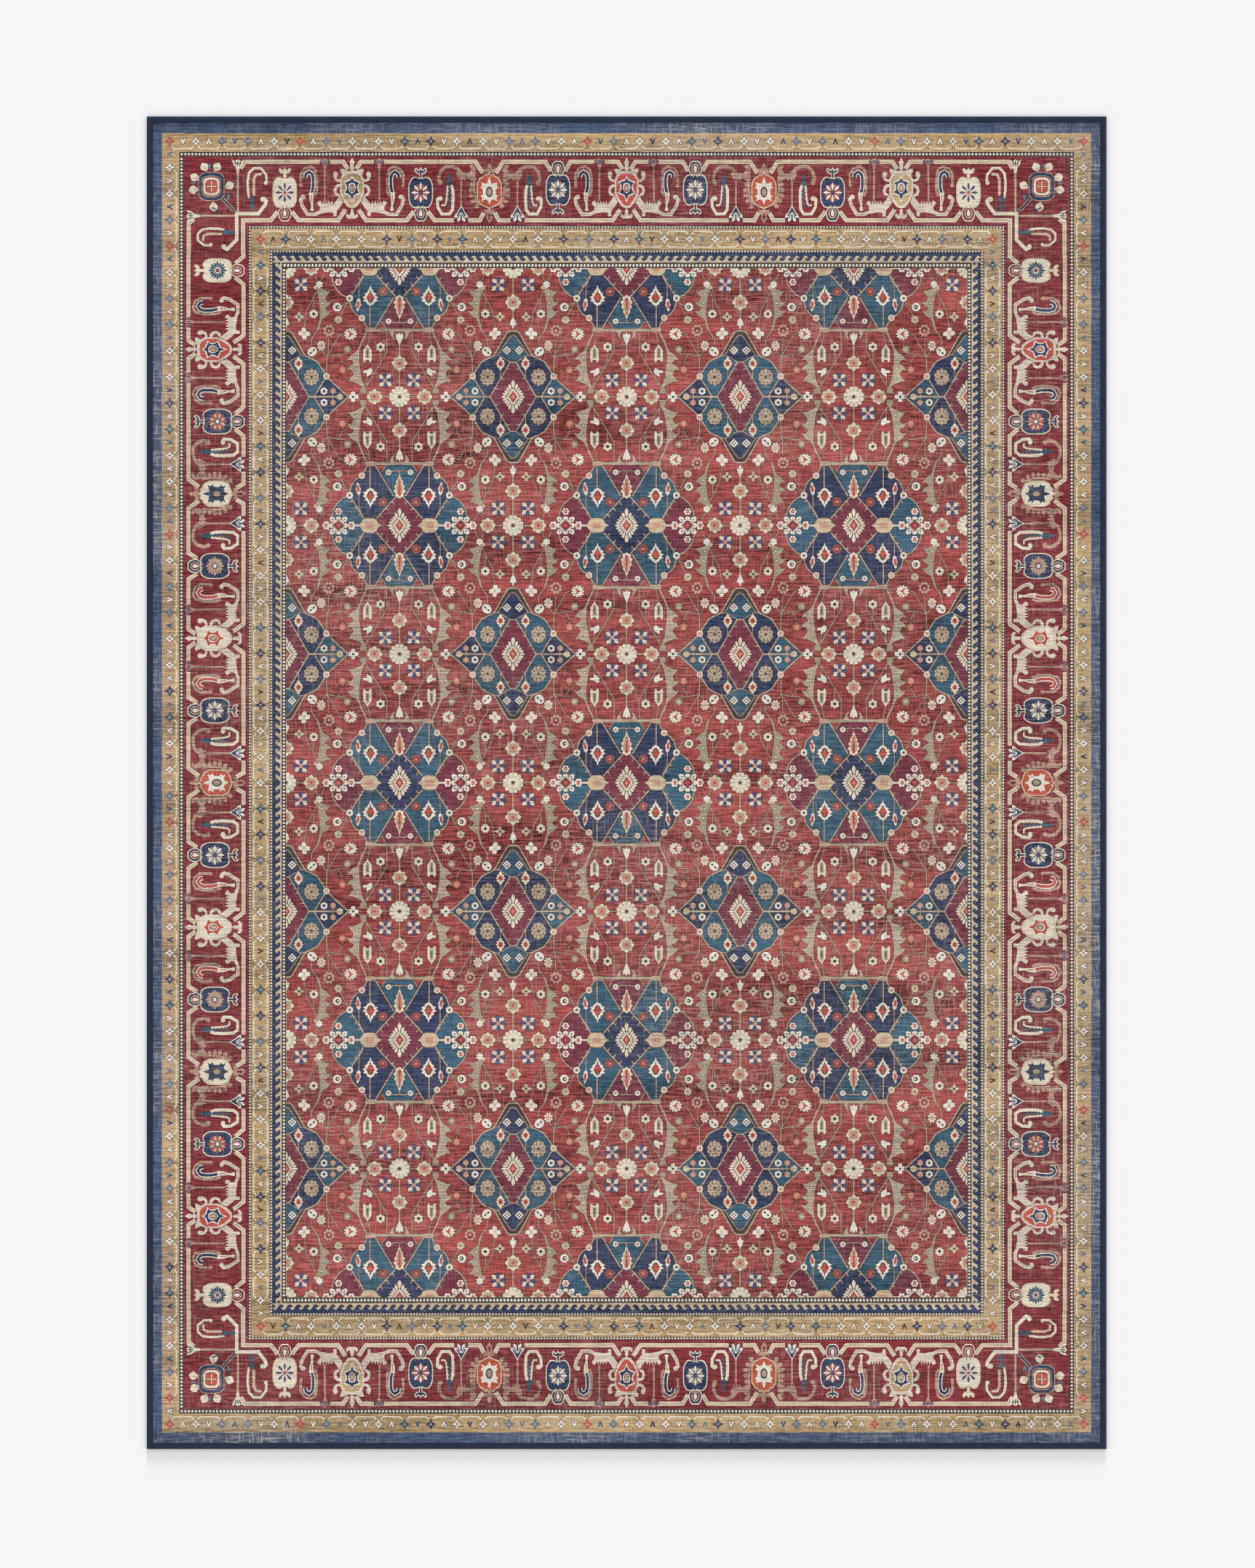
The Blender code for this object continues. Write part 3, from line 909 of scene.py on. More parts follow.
def drawGold(sheet, side, band, flowers, chevrons, vines):
    t0, t1 = bands[side][band]
    reach = bandReach(side, band)
    layBlock(sheet, "gold", -reach, reach, t0, t1)
    middle = t0 + vines["centre"] * (t1 - t0)
    near, far = bands["long" if side == "end" else "end"][band]
    last = rugHalf[0 if side == "end" else 1] - near - vines["centre"] * (far - near)
    odd = 0 if (side, band) == ("long", "innerGold") else 1
    half = 2 * round((last / goldSettings["pitch"] - odd) / 2) + odd
    step = last / half
    edge = half if side == "end" else half - 1
    for k in range(-edge, edge + 1):
        at = (k * step, middle)
        if (k + odd) % 2 == 0:
            # the corner sprig is coral, and the others take their dyes in turn
            dye = "coral" if abs(k) == half else flowers[(k * 5 // 2 + 200) % len(flowers)]
            laySprig(sheet, dye, at, goldSettings["sprig"])
        else:
            up = 1 if (k + odd) % 4 == 1 else -1
            layChevron(sheet, chevrons[(k * 3 + 200) % len(chevrons)], at, goldSettings["chevron"], up)
    for inward, dye in vines["lines"]:
        for k in range(-edge, edge):
            if (k + odd) % 2 or (side == "long" and abs(k + 1) >= half - 1):
                continue
            line = t0 + inward * (t1 - t0)
            lift = line + (middle - line) * 0.34
            a, b = k * step, (k + 2) * step
            if b <= edge * step + 0.1:
                path = [(a + 3.6, lift), (a + 7.4, line), (b - 7.4, line), (b - 3.6, lift)]
                layLine(sheet, dye, path, goldSettings["vine"])


wave = {"pitch": 13.55, "foot": 0.3, "rise": 0.70}


def drawWave(sheet, side):
    t0, t1 = bands[side]["wave"]
    reach = bandReach(side, "wave")
    layBlock(sheet, "navy", -reach, reach, t0, t1)
    half = round(reach / wave["pitch"])
    step = reach / half
    crest = [
        (0, 0), (1, 0), (1, 0.19), (0.86, 0.22), (0.72, 0.34), (0.60, 0.58), (0.48, 0.84), (0.36, 0.97),
        (0.20, 0.95), (0.05, 0.80), (-0.03, 0.56), (0.08, 0.66), (0.20, 0.66), (0.28, 0.54), (0.27, 0.38),
        (0.19, 0.26), (0, 0.19),
    ]
    for k in range(half):
        for turned in (1, -1):
            points = [
                (turned * step * (x - k - 1), t1 - wave["foot"] - wave["rise"] * (t1 - t0) * y)
                for x, y in crest
            ]
            lay(sheet, "sand", points)


def drawOuterBand(side):
    sheet = []
    t0, t1 = bands[side]["blue"]
    blueReach = bandReach(side, "blue")
    layBlock(sheet, "ground", -blueReach, blueReach, t0, bands[side]["bead"][1])
    layBlock(sheet, "denim", -blueReach, blueReach, t0, t1)
    vines = {"centre": 0.44, "lines": [(0.83, "cream")]}
    drawGold(sheet, side, "gold", goldSettings["flowers"], goldSettings["chevrons"], vines)
    drawBeads(sheet, side, "bead")
    return sheet


def drawInnerBand(side):
    sheet = []
    reach = bandReach(side, "innerBead")
    layBlock(sheet, "ground", -reach, reach, bands[side]["innerBead"][0], bands[side]["fieldBead"][1])
    drawBeads(sheet, side, "innerBead")
    vines = {"centre": 0.5, "lines": [(0.13, "cream"), (0.87, "cream")]}
    drawGold(sheet, side, "innerGold", goldSettings["innerFlowers"], goldSettings["innerChevrons"], vines)
    drawBeads(sheet, side, "lastBead")
    drawWave(sheet, side)
    drawBeads(sheet, side, "fieldBead")
    return sheet


# Main border motifs; each is drawn to the right of its own axis
plate = {"length": 218.0, "depth": 109.5, "contour": 0.6, "bare": ("dust", "camel", "sand", "chalk")}


def drawTurtle(sheet):
    shell = [
        (0, 22.4), (8, 22.4), (13.6, 19.4), (18.4, 19.0), (18.6, 23), (15.6, 28.6), (18.8, 36),
        (19.2, 57), (14, 71), (6.4, 80.4), (0, 82),
    ]
    layMirror(sheet, "chalk", shell)
    frontLeg = [
        (17.4, 35.6), (21.6, 36.4), (24.6, 33.4), (23.0, 29.0), (22.6, 25.4), (26.4, 22.8), (29.8, 25.6),
        (29.8, 31.6), (27.6, 37.2), (23, 40), (18.4, 40),
    ]
    backLeg = [
        (18.4, 43.4), (23.6, 44), (27.8, 47.6), (29.4, 54.4), (27.0, 60.8), (21.6, 63.0), (20.0, 59.4),
        (24.0, 57.6), (25.0, 53.2), (22.6, 49.4), (18.4, 48),
    ]
    lay(sheet, "chalk", frontLeg)
    lay(sheet, "chalk", backLeg)
    layMirrors(sheet,
        ("turtle", [(0, 27.0), (8.6, 27.8), (13, 31.4), (16.4, 38.8), (16.2, 56.5), (11.6, 67), (5, 76.4),
            (0, 78.6)]),
        ("white", [(0, 30), (3.0, 35.8), (7.8, 37.6), (13.8, 40), (10.4, 44.0), (9.8, 49), (11, 53.8),
            (14, 58.2), (8.6, 60.4), (3.8, 62.6), (0, 73)]),
        ("turtleBloom", [(0, 33.4), (2.4, 37.6), (7.2, 39.6), (11.6, 41.2), (8.6, 44.8), (8.0, 49.2),
            (9, 53.4), (11.8, 57), (7.4, 58.8), (3.0, 61), (0, 69)]))
    layDiscs(sheet, (0, 50),
        ("white", 5.8, 12, 1.5, 15),
        ("garnet", 4.4, 10, 1.55),
        ("camel", 3.2, 10, 1.6))
    layMirrors(sheet,
        ("chalk", [(0, 1.4), (2.0, 5), (4.0, 9), (2.4, 14), (3.6, 19), (0, 23)]),
        ("chalk", [(0, 82), (2.2, 84), (2.6, 91), (5, 93.4), (8.4, 89.8), (9.8, 94.6), (5.6, 98.6),
            (0, 98.2)]))
    # leg, comb-backed animal and its curling tail
    lay(sheet, "chalk", [(19, 60), (24, 68.6), (29.2, 74.6), (30.4, 84), (29.4, 94.6), (24.6, 94.8),
        (24.4, 86), (19.6, 80.4), (14.6, 73)])
    back = [(24, 78), (28, 74.6)]
    for k in range(5):
        back += [(30.2 + 4.3 * k, 76.4), (32.4 + 4.3 * k, 69.8)]
    lay(sheet, "chalk", [*back, (53.4, 70.6), (55.6, 74), (53, 77.4), (50.6, 80.6), (52.4, 88.4),
        (48.4, 90.4), (38, 88.4), (28, 88.6)])
    layLine(sheet, "chalk", [(49, 87.2), (59.0, 91.6), (70.6, 91.6), (79.4, 77.2), (81.6, 68),
        (78.4, 62.8)], 5.4)
    layLine(sheet, "camel", [(58, 91.6), (70.2, 91.6), (78.8, 77.4), (80.8, 69)], 1.7)
    layDisc(sheet, "chalk", (77.4, 64), 3.8, 8)
    # striped cup on its stalk
    cup = [
        (34.0, 2.6), (38.0, 5.2), (42.9, 2.2), (47.8, 5.2), (51.8, 2.6), (49.2, 9.6), (45.6, 14),
        (44.6, 18), (41.2, 18), (40.2, 14), (36.6, 9.6),
    ]
    lay(sheet, "dust", cup)
    for x in (-6.6, -2.2, 2.2, 6.6):
        lay(sheet, "violet", [(42.9 + x, 4.0), (44.0 + 0.8 * x, 8), (42.9 + 0.4 * x, 14.6),
            (41.6 + 0.8 * x, 8)])
    layLine(sheet, "dust", [(43.2, 17), (43.4, 70)], 2.7)


def drawPlume(sheet):
    layLine(sheet, "dust", [(81.4, 45), (81.4, 28), (76.4, 19.4), (66.2, 15.6), (58.6, 20), (55.8, 34),
        (55.8, 54), (59.2, 63)], 4.0)
    layBarbs(sheet, "dust", (55.4, 60), (55.4, 26), 6, 3.4, 1)
    layDisc(sheet, "dust", (80.8, 46.0), 3.0, 7)
    spine = [(74.4, 33), (73.4, 27.4), (68.4, 24.0), (63.6, 27.2), (61.6, 34), (61.8, 48), (64.4, 60)]
    layLine(sheet, "white", spine, 7.0)
    layBarbs(sheet, "white", (66.0, 56), (64.6, 32), 4, 4.6, -1)
    layLine(sheet, "plume", spine, 4.2)
    lay(sheet, "cream", [(61, 57), (68.6, 57), (67.4, 68), (64.8, 77), (66.2, 86), (60.4, 86), (62.2, 77),
        (61.6, 68)])
    layLine(sheet, "coral", [(64.6, 61), (63.8, 72)], 1.3)


def drawOval(sheet, at, outwards):
    def put(*halves):
        for dye, half in halves:
            turned = [(0.94 * x, y if outwards else plate["depth"] - y) for x, y in half]
            layMirror(sheet, dye, turned, (at, 0))

    body = [
        (0, 33), (3, 34.4), (6, 32.6), (10, 31.6), (14.4, 33), (17.6, 37), (20.2, 43), (20.8, 49),
        (20.8, 63), (20.2, 70), (17.6, 76.6), (14.4, 80.2), (10, 81.4), (6, 80.6), (3, 79), (0, 82.6),
    ]
    put(("ovalEdge", body), ("oval", [(0.92 * x, 57 + 0.935 * (y - 57)) for x, y in body]))
    middle = (at, 57.0 if outwards else plate["depth"] - 57.0)
    layPetals(sheet, "ovalRays", middle, 8, 3.4, 13.4, 3.4, 22.5, 1.06)
    layPetals(sheet, "ovalBloom", middle, 8, 2.6, 14.6, 4.2, 0, 1.06)
    layDisc(sheet, "ovalHeart", middle, 3.5, 4, 1.0, 45)
    # sprout on one side of the body, ringed drop on the other
    put(
        ("ovalEdge", [(0, 35), (2.8, 33.6), (2.8, 27.0), (6, 27.4), (9.6, 24.2), (10.4, 19.2),
            (7.6, 17.2), (4.4, 20.6), (2.2, 20.2), (0, 16.4)]),
        ("ovalSprout", [(0, 34), (1.5, 32.6), (1.5, 25.6), (5.4, 25.8), (8.0, 23.2), (8.7, 20.2),
            (7.4, 19.6), (5.2, 22.6), (1.8, 22.2), (0, 19.6)]),
        ("cream", [(0, 80.5), (7, 80.5), (12, 87.6), (9.6, 98.4), (5.2, 103), (0, 103)]),
        ("ovalRing", [(0, 81.5), (6.4, 82), (10.2, 88), (8.2, 97.4), (4.4, 101.2), (0, 101.2)]),
        ("camel", [(0, 82.5), (4.8, 83.4), (7.2, 89), (5.6, 95.6), (3.0, 98), (0, 98)]),
        ("garnet", [(0, 83.5), (3.6, 84.6), (5.2, 89.2), (4.2, 94.4), (2.2, 96), (0, 96)]),
        ("white", [(0, 83.6), (2.2, 87), (3.0, 91), (1.8, 94.2), (0, 94.8)]))


def drawShield(sheet):
    layMirror(sheet, "dust", [(0, 8.5), (2.4, 12), (2.8, 16.6), (6, 20), (9.6, 16.8), (10.4, 21.8),
        (6.6, 25.2), (0, 26)])
    # leafy arm of the shield, with the comb-bellied animal reaching over the stalk
    layLine(sheet, "dust", [(23.0, 34), (24.0, 48), (23.0, 62), (18.0, 77)], 3.4)
    for at, length, turn in (((22, 46), 10.5, -112), ((23, 53), 10.5, -92), ((22.5, 60), 11, -78),
            ((20, 67), 11, -60), ((16.5, 74), 10, -36)):
        layLeaf(sheet, "dust", at, length, 7.4, turn=turn, belly=1.25)
    lay(sheet, "dust", [(20.6, 35), (22.6, 30), (22.4, 25), (20.8, 20), (24, 14), (29.6, 12.6),
        (31, 16.6), (27.8, 19.6), (31, 24), (33.4, 27.4), (46, 24.4), (50, 21.4), (53, 25.6), (51.4, 31),
        (49, 33.6), (47.6, 39), (45.6, 34.2), (43, 39), (41, 34.2), (38.4, 39), (36.4, 34.4), (32.4, 35),
        (28.4, 38.4), (24, 39.4)])
    layLine(sheet, "dust", [(44, 27), (49.6, 19.4), (59, 15.8), (70, 16.2), (77.4, 23.2), (80.2, 33),
        (79, 41)], 5.2)
    layDisc(sheet, "dust", (77.8, 41.4), 4.0)
    layMirrors(sheet,
        ("sand", [(0, 23.2), (3, 28.6), (6.6, 26.2), (10.2, 31.2), (15.2, 33.2), (19.9, 42), (19.9, 66.4),
            (15.8, 76), (6, 80.6), (0, 83.4)]),
        ("shield", [(0, 26.6), (3, 31.4), (6.6, 29), (9.4, 33.2), (14.2, 35.4), (18.2, 43), (18.2, 65.4),
            (14.3, 74.2), (5.5, 78.6), (0, 80.6)]),
        ("shieldBloom", [(0, 32), (2.2, 38), (3.2, 43), (8, 42), (13, 41), (11.6, 46), (14.6, 48.6),
            (10.4, 51.4), (10, 60), (14, 62.6), (10.8, 65.4), (13, 71), (7, 67.8), (3, 69), (0, 76)]))
    layDiscs(sheet, (0, 56), ("umber", 5.8, 12, 1.5), ("olive", 3.9, 10, 1.55))
    layMirrors(sheet,
        ("dust", [(0, 82.4), (4, 85), (9, 83.4), (7.6, 89.6), (4, 92.4), (5, 98.6), (0, 106)]),
        ("garnet", [(0, 89), (1.6, 92), (2, 97), (0, 101)]))
    # stalk and striped fan
    layLine(sheet, "dust", [(44.6, 38), (44.6, 81)], 2.7)
    for turn in (-52, -19, 19, 52):
        layLeaf(sheet, "white", (44.6, 88), 18 - 0.07 * abs(turn), 6.2, turn=turn, belly=1.3)
    for turn in (-36, 0, 36):
        layLeaf(sheet, "navy", (44.6, 89), 14.5, 2.6, turn=turn, belly=1.2)
    lay(sheet, "white", [(44.6, 76.6), (49.4, 86), (55.0, 96), (50.6, 97), (46.6, 91), (42.6, 91),
        (38.6, 97), (34.2, 96), (39.8, 86)])
    lay(sheet, "navy", [(44.6, 79), (48.2, 86.6), (52.6, 94.6), (50.4, 94.8), (46.2, 88.8), (43.0, 88.8),
        (38.8, 94.8), (36.6, 94.6), (41.0, 86.6)])
    # hooked comb leaf
    layLine(sheet, "cream", [(60.4, 45), (58, 53), (57.4, 66), (58.4, 84), (63.2, 91), (75.6, 91),
        (82, 79.6), (82.6, 68), (79, 64.4)], 4.6)
    layDisc(sheet, "cream", (77.8, 66.4), 3.8)
    layBarbs(sheet, "cream", (57.0, 82), (58, 48), 5, 3.6, 1)
    layLine(sheet, "cream", [(66.4, 46), (67.4, 60), (68.6, 73), (71, 77.4), (76.4, 77)], 2.6)
    layBarbs(sheet, "cream", (68.4, 70), (66.6, 46), 4, 3.4, -1)
    layLine(sheet, "teal", [(62.8, 44), (62.9, 70), (66.6, 82)], 1.9)
    lay(sheet, "teal", [(63.6, 26.4), (66.4, 32), (64.8, 35), (68, 40), (65.8, 46), (61.2, 46),
        (59.2, 40), (62.4, 35), (60.8, 32)])


def rails(sheet, top, bottom):
    for path in top + bottom:
        layLine(sheet, "cream", path, 6.4)
    for path in top:
        layLine(sheet, "sand", path, 4.2)
    for path in bottom:
        layLine(sheet, "sand", path, 3.4)


# Palmette axis at s = 0, shield axis at s = length, an oval half way.
def drawPlate(length, outwards):
    sheet = []
    layBlock(sheet, "garnet", 0, length, 0, plate["depth"])
    middle = length / 2
    fromTurtle, toShield = [(6.4, 20), (14, 8), (34.5, 8)], [(length - 22, 8), (length - 10.4, 26)]
    low = [(10.4, 84), (22, 101)]
    lowEnd = [(length - 33.5, 101), (length - 15, 101), (length - 8.6, 88.6)]
    if outwards:
        top = [fromTurtle, [(51, 8), *toShield]]
        bottom = [
            [*low, (middle - 22, 101), (middle - 11.4, 87)], [(middle + 11.4, 87), (middle + 22, 101),
            (length - 56, 101)], lowEnd,
        ]
    else:
        top = [
            fromTurtle, [(51, 8), (middle - 20, 8), (middle - 11.4, 22.6)], [(middle + 11.4, 22.6),
            (middle + 20, 8), *toShield],
        ]
        bottom = [[*low, (length - 56, 101)], lowEnd]
    rails(sheet, top, bottom)
    drawTurtle(sheet)
    drawPlume(sheet)
    shield = []
    drawShield(shield)
    for dye, points in shield:
        lay(sheet, dye, points, (length, 0), flip=True)
    drawOval(sheet, middle, outwards)
    contour(sheet, 1, plate["contour"], bare=plate["bare"])
    return sheet


def drawEndPlate(length, ovalAt):
    sheet = []
    layBlock(sheet, "garnet", 0, length, 0, plate["depth"])
    bottom = [
        [(10.4, 84), (22, 101), (ovalAt - 22, 101), (ovalAt - 11.4, 87)], [(ovalAt + 11.4, 87),
        (ovalAt + 22, 101), (length + 3, 101)],
    ]
    rails(sheet, [[(6.4, 20), (14, 8), (34.5, 8)], [(51, 8), (length + 3, 8)]], bottom)
    drawTurtle(sheet)
    drawPlume(sheet)
    drawOval(sheet, ovalAt, True)
    contour(sheet, 1, plate["contour"], bare=plate["bare"])
    return sheet


def layTulip(sheet, at, turn):
    cup = [
        (-9.4, 0), (-5, 3), (0, 0), (5, 3), (9.4, 0), (7.4, 8), (3.2, 13), (1.8, 22), (-1.8, 22),
        (-3.2, 13), (-7.4, 8),
    ]
    lay(sheet, "cream", cup, at, turn)
    for x in (-4.8, 0, 4.8):
        lay(sheet, "navy", [(x, 1.8), (1.3 + 0.8 * x, 6), (0.4 * x, 12), (-1.3 + 0.8 * x, 6)], at, turn)


def drawCorner():
    sheet = []
    deep, across, along = plate["depth"], sides["end"]["corner"], sides["long"]["corner"]
    lay(sheet, "garnet", [(0, 0), (across, 0), (across, deep), (103, deep), (103, along), (0, along)])
    outer = [[(90.5, 19), (97, 8), (140, 8)], [(16.5, 99), (8, 106), (8, 158)]]
    rails(sheet, outer, [[(140, 101), (94.4, 101), (94.4, 158)]])
    # the two dusty stalks and their tulips
    layLines(sheet, "camel", 3.2, [(86, 26), (86, 88)], [(26, 94), (82, 94)])
    layTulip(sheet, (86, 4.2), 0)
    layTulip(sheet, (4.2, 94), -90)
    # the pale angle with a curl at both ends
    angle = [
        (126.2, 65.6), (131, 70), (129.6, 76), (118.6, 90.4), (84.2, 90.4), (84.2, 132), (69, 147),
        (63.6, 144.6),
    ]
    layLine(sheet, "cream", angle, 5.6)
    layDisc(sheet, "cream", (125.4, 67.6), 4.0)
    layDisc(sheet, "cream", (63.8, 142.8), 4.0)
    layLine(sheet, "camel", [(62, 67), (81, 87.6)], 5.2)
    layLine(sheet, "navy", [(62, 67), (81, 87.6)], 3.2)
    layLines(sheet, "navy", 2.4, [(58, 72), (49, 82), (57, 90)], [(66, 66), (75, 57)])
    # boxed flower
    box = [(20.6, 15), (15, 21), (7, 23), (0, 23)]
    for grow, dye in ((1.0, "camel"), (0.955, "navy"), (0.74, "camel"), (0.70, "garnet"), (0.62, "cream"),
            (0.46, "garnet")):
        ring = [(grow * x, grow * y) for x, y in box]
        layMirror(sheet, dye, [(0, -ring[-1][1]), *[(x, -y) for x, y in ring[-2::-1]], *ring], (44, 47.2))
    for dx in (-4.6, 4.6):
        for dy in (-5, 5):
            layScallop(sheet, "coral", (44 + dx, 47.2 + dy), 4.6, 6, 0.16, 1.08)
    layLines(sheet, "cream", 1.3, [(44, 38), (44, 56.4)], [(35.6, 47.2), (52.4, 47.2)])
    for at, turn in (((37, 24), -28), ((49, 24), 28), ((25, 37), -62), ((24, 51), -100), ((65, 50), 62),
            ((46, 71), 170)):
        layLeaf(sheet, "cream", at, 16.4, 13.6, turn=180 + turn, belly=1.2)
        layLeaf(sheet, "sand", at, 9.0, 5.0, turn=180 + turn, belly=1.2)
    for at, turn in (((41, 20), 160), ((20, 42), 70), ((73, 60), 0), ((52, 84), 90)):
        layLeaf(sheet, "slate", at, 9.5, 5.6, 1, turn=turn + 20)
    # arched leaves beside the angle, one along each side
    for turned in (False, True):
        drawn = []
        layLine(drawn, "cream", [(104, 66), (102, 54), (101.4, 40), (103.6, 26), (111, 18.2),
            (122.6, 18.2), (131, 29), (131.6, 40)], 3.9)
        layBarbs(drawn, "cream", (101.6, 62), (101.6, 32), 4, 3.4, 1)
        layDisc(drawn, "cream", (130.4, 41.6), 3.3, 7)
        layLine(drawn, "sand", [(124, 27.6), (114.6, 28.4), (111.6, 36), (111.6, 62)], 4.0)
        layBarbs(drawn, "sand", (112.6, 60), (112.6, 34), 5, 4.6, -1)
        lay(drawn, "teal", [(104.6, 60), (108.4, 66), (112.6, 60), (112.4, 68), (109.8, 74), (112, 80),
            (109.4, 86), (106.8, 86), (105, 80), (107, 74), (104.4, 68)])
        for dye, points in drawn:
            lay(sheet, dye, [(0.88 * y + 6.5, 0.9 * x + 22.5) for x, y in points] if turned else points)
    contour(sheet, 1, plate["contour"], bare=plate["bare"])
    return sheet


plainPlate = {
    "turtle": "coral", "turtleBloom": "navy", "shield": "ember", "shieldBloom": "white", "plume": "navy",
}
giltPlate = dict(plainPlate, turtle="gold")
palePlate = dict(plainPlate, turtle="cream", turtleBloom="ember", plume="coral")
paleShieldPlate = dict(palePlate, shield="cream", shieldBloom="navy")
lastPlate = dict(plainPlate, shield="cream", shieldBloom="navy")
navyOval = {
    "oval": "navy", "ovalEdge": "cream", "ovalBloom": "white", "ovalRays": "camel", "ovalHeart": "violet",
    "ovalSprout": "navy", "ovalRing": "navy",
}
rustOval = dict(navyOval, ovalRays="coral", ovalHeart="wine")
blushOval = dict(navyOval, ovalBloom="blush", ovalHeart="white")
fieryOval = dict(navyOval, ovalBloom="coral", ovalRays="sand", ovalHeart="white")
creamOval = {
    "oval": "cream", "ovalEdge": "sand", "ovalBloom": "violet", "ovalRays": "cream", "ovalHeart": "coral",
    "ovalSprout": "cream", "ovalRing": "garnet",
}
rayOval = dict(creamOval, ovalBloom="teal", ovalRays="navy", ovalHeart="wine")

# Plates of each side, counted out from its middle: kind, where the palmette stands, the way it
# runs, the plate's dyes and the oval's. The last plate gives its dyes, where it starts, its oval's
# dyes and how far along that oval stands; the corner stops it.
sides = {
    "end": {
        "unit": 218.0,
        "corner": 137.0,
        "plates": [("inward", 0, 1, plainPlate, navyOval), ("outward", 2, -1, giltPlate, rustOval)],
        "last": (giltPlate, 2, creamOval, 106.8),
    },
    "long": {
        "unit": 229.5,
        "corner": 155.0,
        "plates": [
            ("inward", 1, -1, palePlate, navyOval),
            ("inward", 1, 1, paleShieldPlate, blushOval),
            ("outward", 3, -1, lastPlate, fieryOval),
        ],
        "last": (lastPlate, 3, rayOval, 125.2),
    },
}


# Where a side's (s, t) falls on the rug.
def sideMatrix(name):
    return {
        "top": planar(1, 0, 0, -1, 0, rugHalf[1]),
        "bottom": planar(1, 0, 0, 1, 0, -rugHalf[1]),
        "right": planar(0, -1, 1, 0, rugHalf[0], 0),
        "left": planar(0, 1, 1, 0, -rugHalf[0], 0),
    }[name]


def buildBorders():
    tiles = {}
    for kind in ("inward", "outward"):
        tiles[kind] = cutTile(kind, drawPlate(plate["length"], kind == "outward"))
    tiles["corner"] = cutTile("corner", drawCorner())
    for side in ("end", "long"):
        plan = sides[side]
        t0, t1 = bands[side]["main"]
        across, along = (0, "long") if side == "end" else (1, "end")
        reach = rugHalf[across] - bands[along]["main"][0]
        outer = cutTile(f"{side}Outer", drawOuterBand(side))
        inner = cutTile(f"{side}Inner", drawInnerBand(side))
        lastDyes, lastAt, lastOvalDyes, ovalAt = plan["last"]
        lastLength = reach - plan["corner"] - lastAt * plan["unit"]
        lastTile = cutTile(f"{side}Last", drawEndPlate(lastLength, ovalAt))
        for name in ("top", "bottom") if side == "end" else ("right", "left"):
            lie = sideMatrix(name)
            for band, tile in (("outer", outer), ("inner", inner)):
                piece = bmesh.new()
                stamp(piece, tile, lie)
                finishPrint(f"{band}_border_print_{name}", piece)
            piece = bmesh.new()
            deep = (t1 - t0) / plate["depth"]
            wide = plan["unit"] / plate["length"]
            for way in (-1, 1):
                for kind, unit, run, plateDyes, ovalDyes in plan["plates"]:
                    place = planar(way * run * wide, 0, 0, deep, way * unit * plan["unit"], t0)
                    stamp(piece, tiles[kind], lie @ place, {**plateDyes, **ovalDyes})
                place = planar(way, 0, 0, deep, way * lastAt * plan["unit"], t0)
                stamp(piece, lastTile, lie @ place, {**lastDyes, **lastOvalDyes})
                if side == "end":
                    place = planar(-way, 0, 0, 1, way * reach, t0)
                    stamp(piece, tiles["corner"], lie @ place)
            finishPrint(f"main_border_print_{name}", piece)


buildBorders()
print("borders built")


# Binding tape, stitches, interlining, grip backing and label
def keepMesh(name, piece, material, nodes):
    bmesh.ops.scale(piece, vec=(mm, mm, mm), verts=piece.verts)
    bmesh.ops.recalc_face_normals(piece, faces=piece.faces)
    mesh = asMesh(name, piece)
    mesh.materials.append(material)
    made = addObject(name, mesh)
    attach(made, "root")
    if nodes:
        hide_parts(*nodes)
    print(name, len(mesh.polygons), "faces")
    return made


# Repeats a small mesh along one or two directions.
def arrayed(mesh, rows):
    holder = addObject("holder", mesh)
    for count, step in rows:
        row = holder.modifiers.new("row", "ARRAY")
        row.use_relative_offset = False
        row.use_constant_offset = True
        row.count = count
        row.constant_offset_displace = step
    shown = holder.evaluated_get(bpy.context.evaluated_depsgraph_get())
    copied = bpy.data.meshes.new_from_object(shown)
    bpy.data.objects.remove(holder)
    return copied


def simpleCloth(name, colour, roughness, stretch, amount, height):
    material, tree, shader = newMaterial(name, roughness)
    coords = tree.nodes.new("ShaderNodeTexCoord").outputs["Object"]
    cloud = addNoise(tree, coords, stretch, 3.0, 0.6)
    shade = addShade(tree, linear(colour), addRange(tree, cloud, 0.3, 0.7, 1 - amount, 1 + amount))
    tree.links.new(shade, shader.inputs["Base Color"])
    addBump(tree, shader, cloud, 0.5, height)
    return material


def ribbedTape():
    material, tree, shader = newMaterial("ribbedTape", 0.75)
    coords = tree.nodes.new("ShaderNodeTexCoord").outputs["Object"]
    ribs = tree.nodes.new("ShaderNodeTexWave")
    ribs.bands_direction = "DIAGONAL"
    ribs.inputs["Scale"].default_value = 190.0
    ribs.inputs["Distortion"].default_value = 0.6
    tree.links.new(coords, ribs.inputs["Vector"])
    cloud = addNoise(tree, coords, (60, 60, 60), 3.0)
    # Painted shade: the soft darker and lighter patches (mottled) stand for the tape's folds, and the rib
    # term (ribbed) paints each rib's light and shade into the colour as well as into the bump.
    foldShadePainted = addRange(tree, cloud, 0.3, 0.7, 0.84, 1.08)
    ribShadePainted = addRange(tree, ribs.outputs["Fac"], 0, 1, -0.08, 0.08)
    shade = addShade(tree, linear(tape["dye"]), addMath(tree, "ADD", foldShadePainted, ribShadePainted))
    tree.links.new(shade, shader.inputs["Base Color"])
    addBump(tree, shader, ribs.outputs["Fac"], 0.5, 0.0002)
    return material


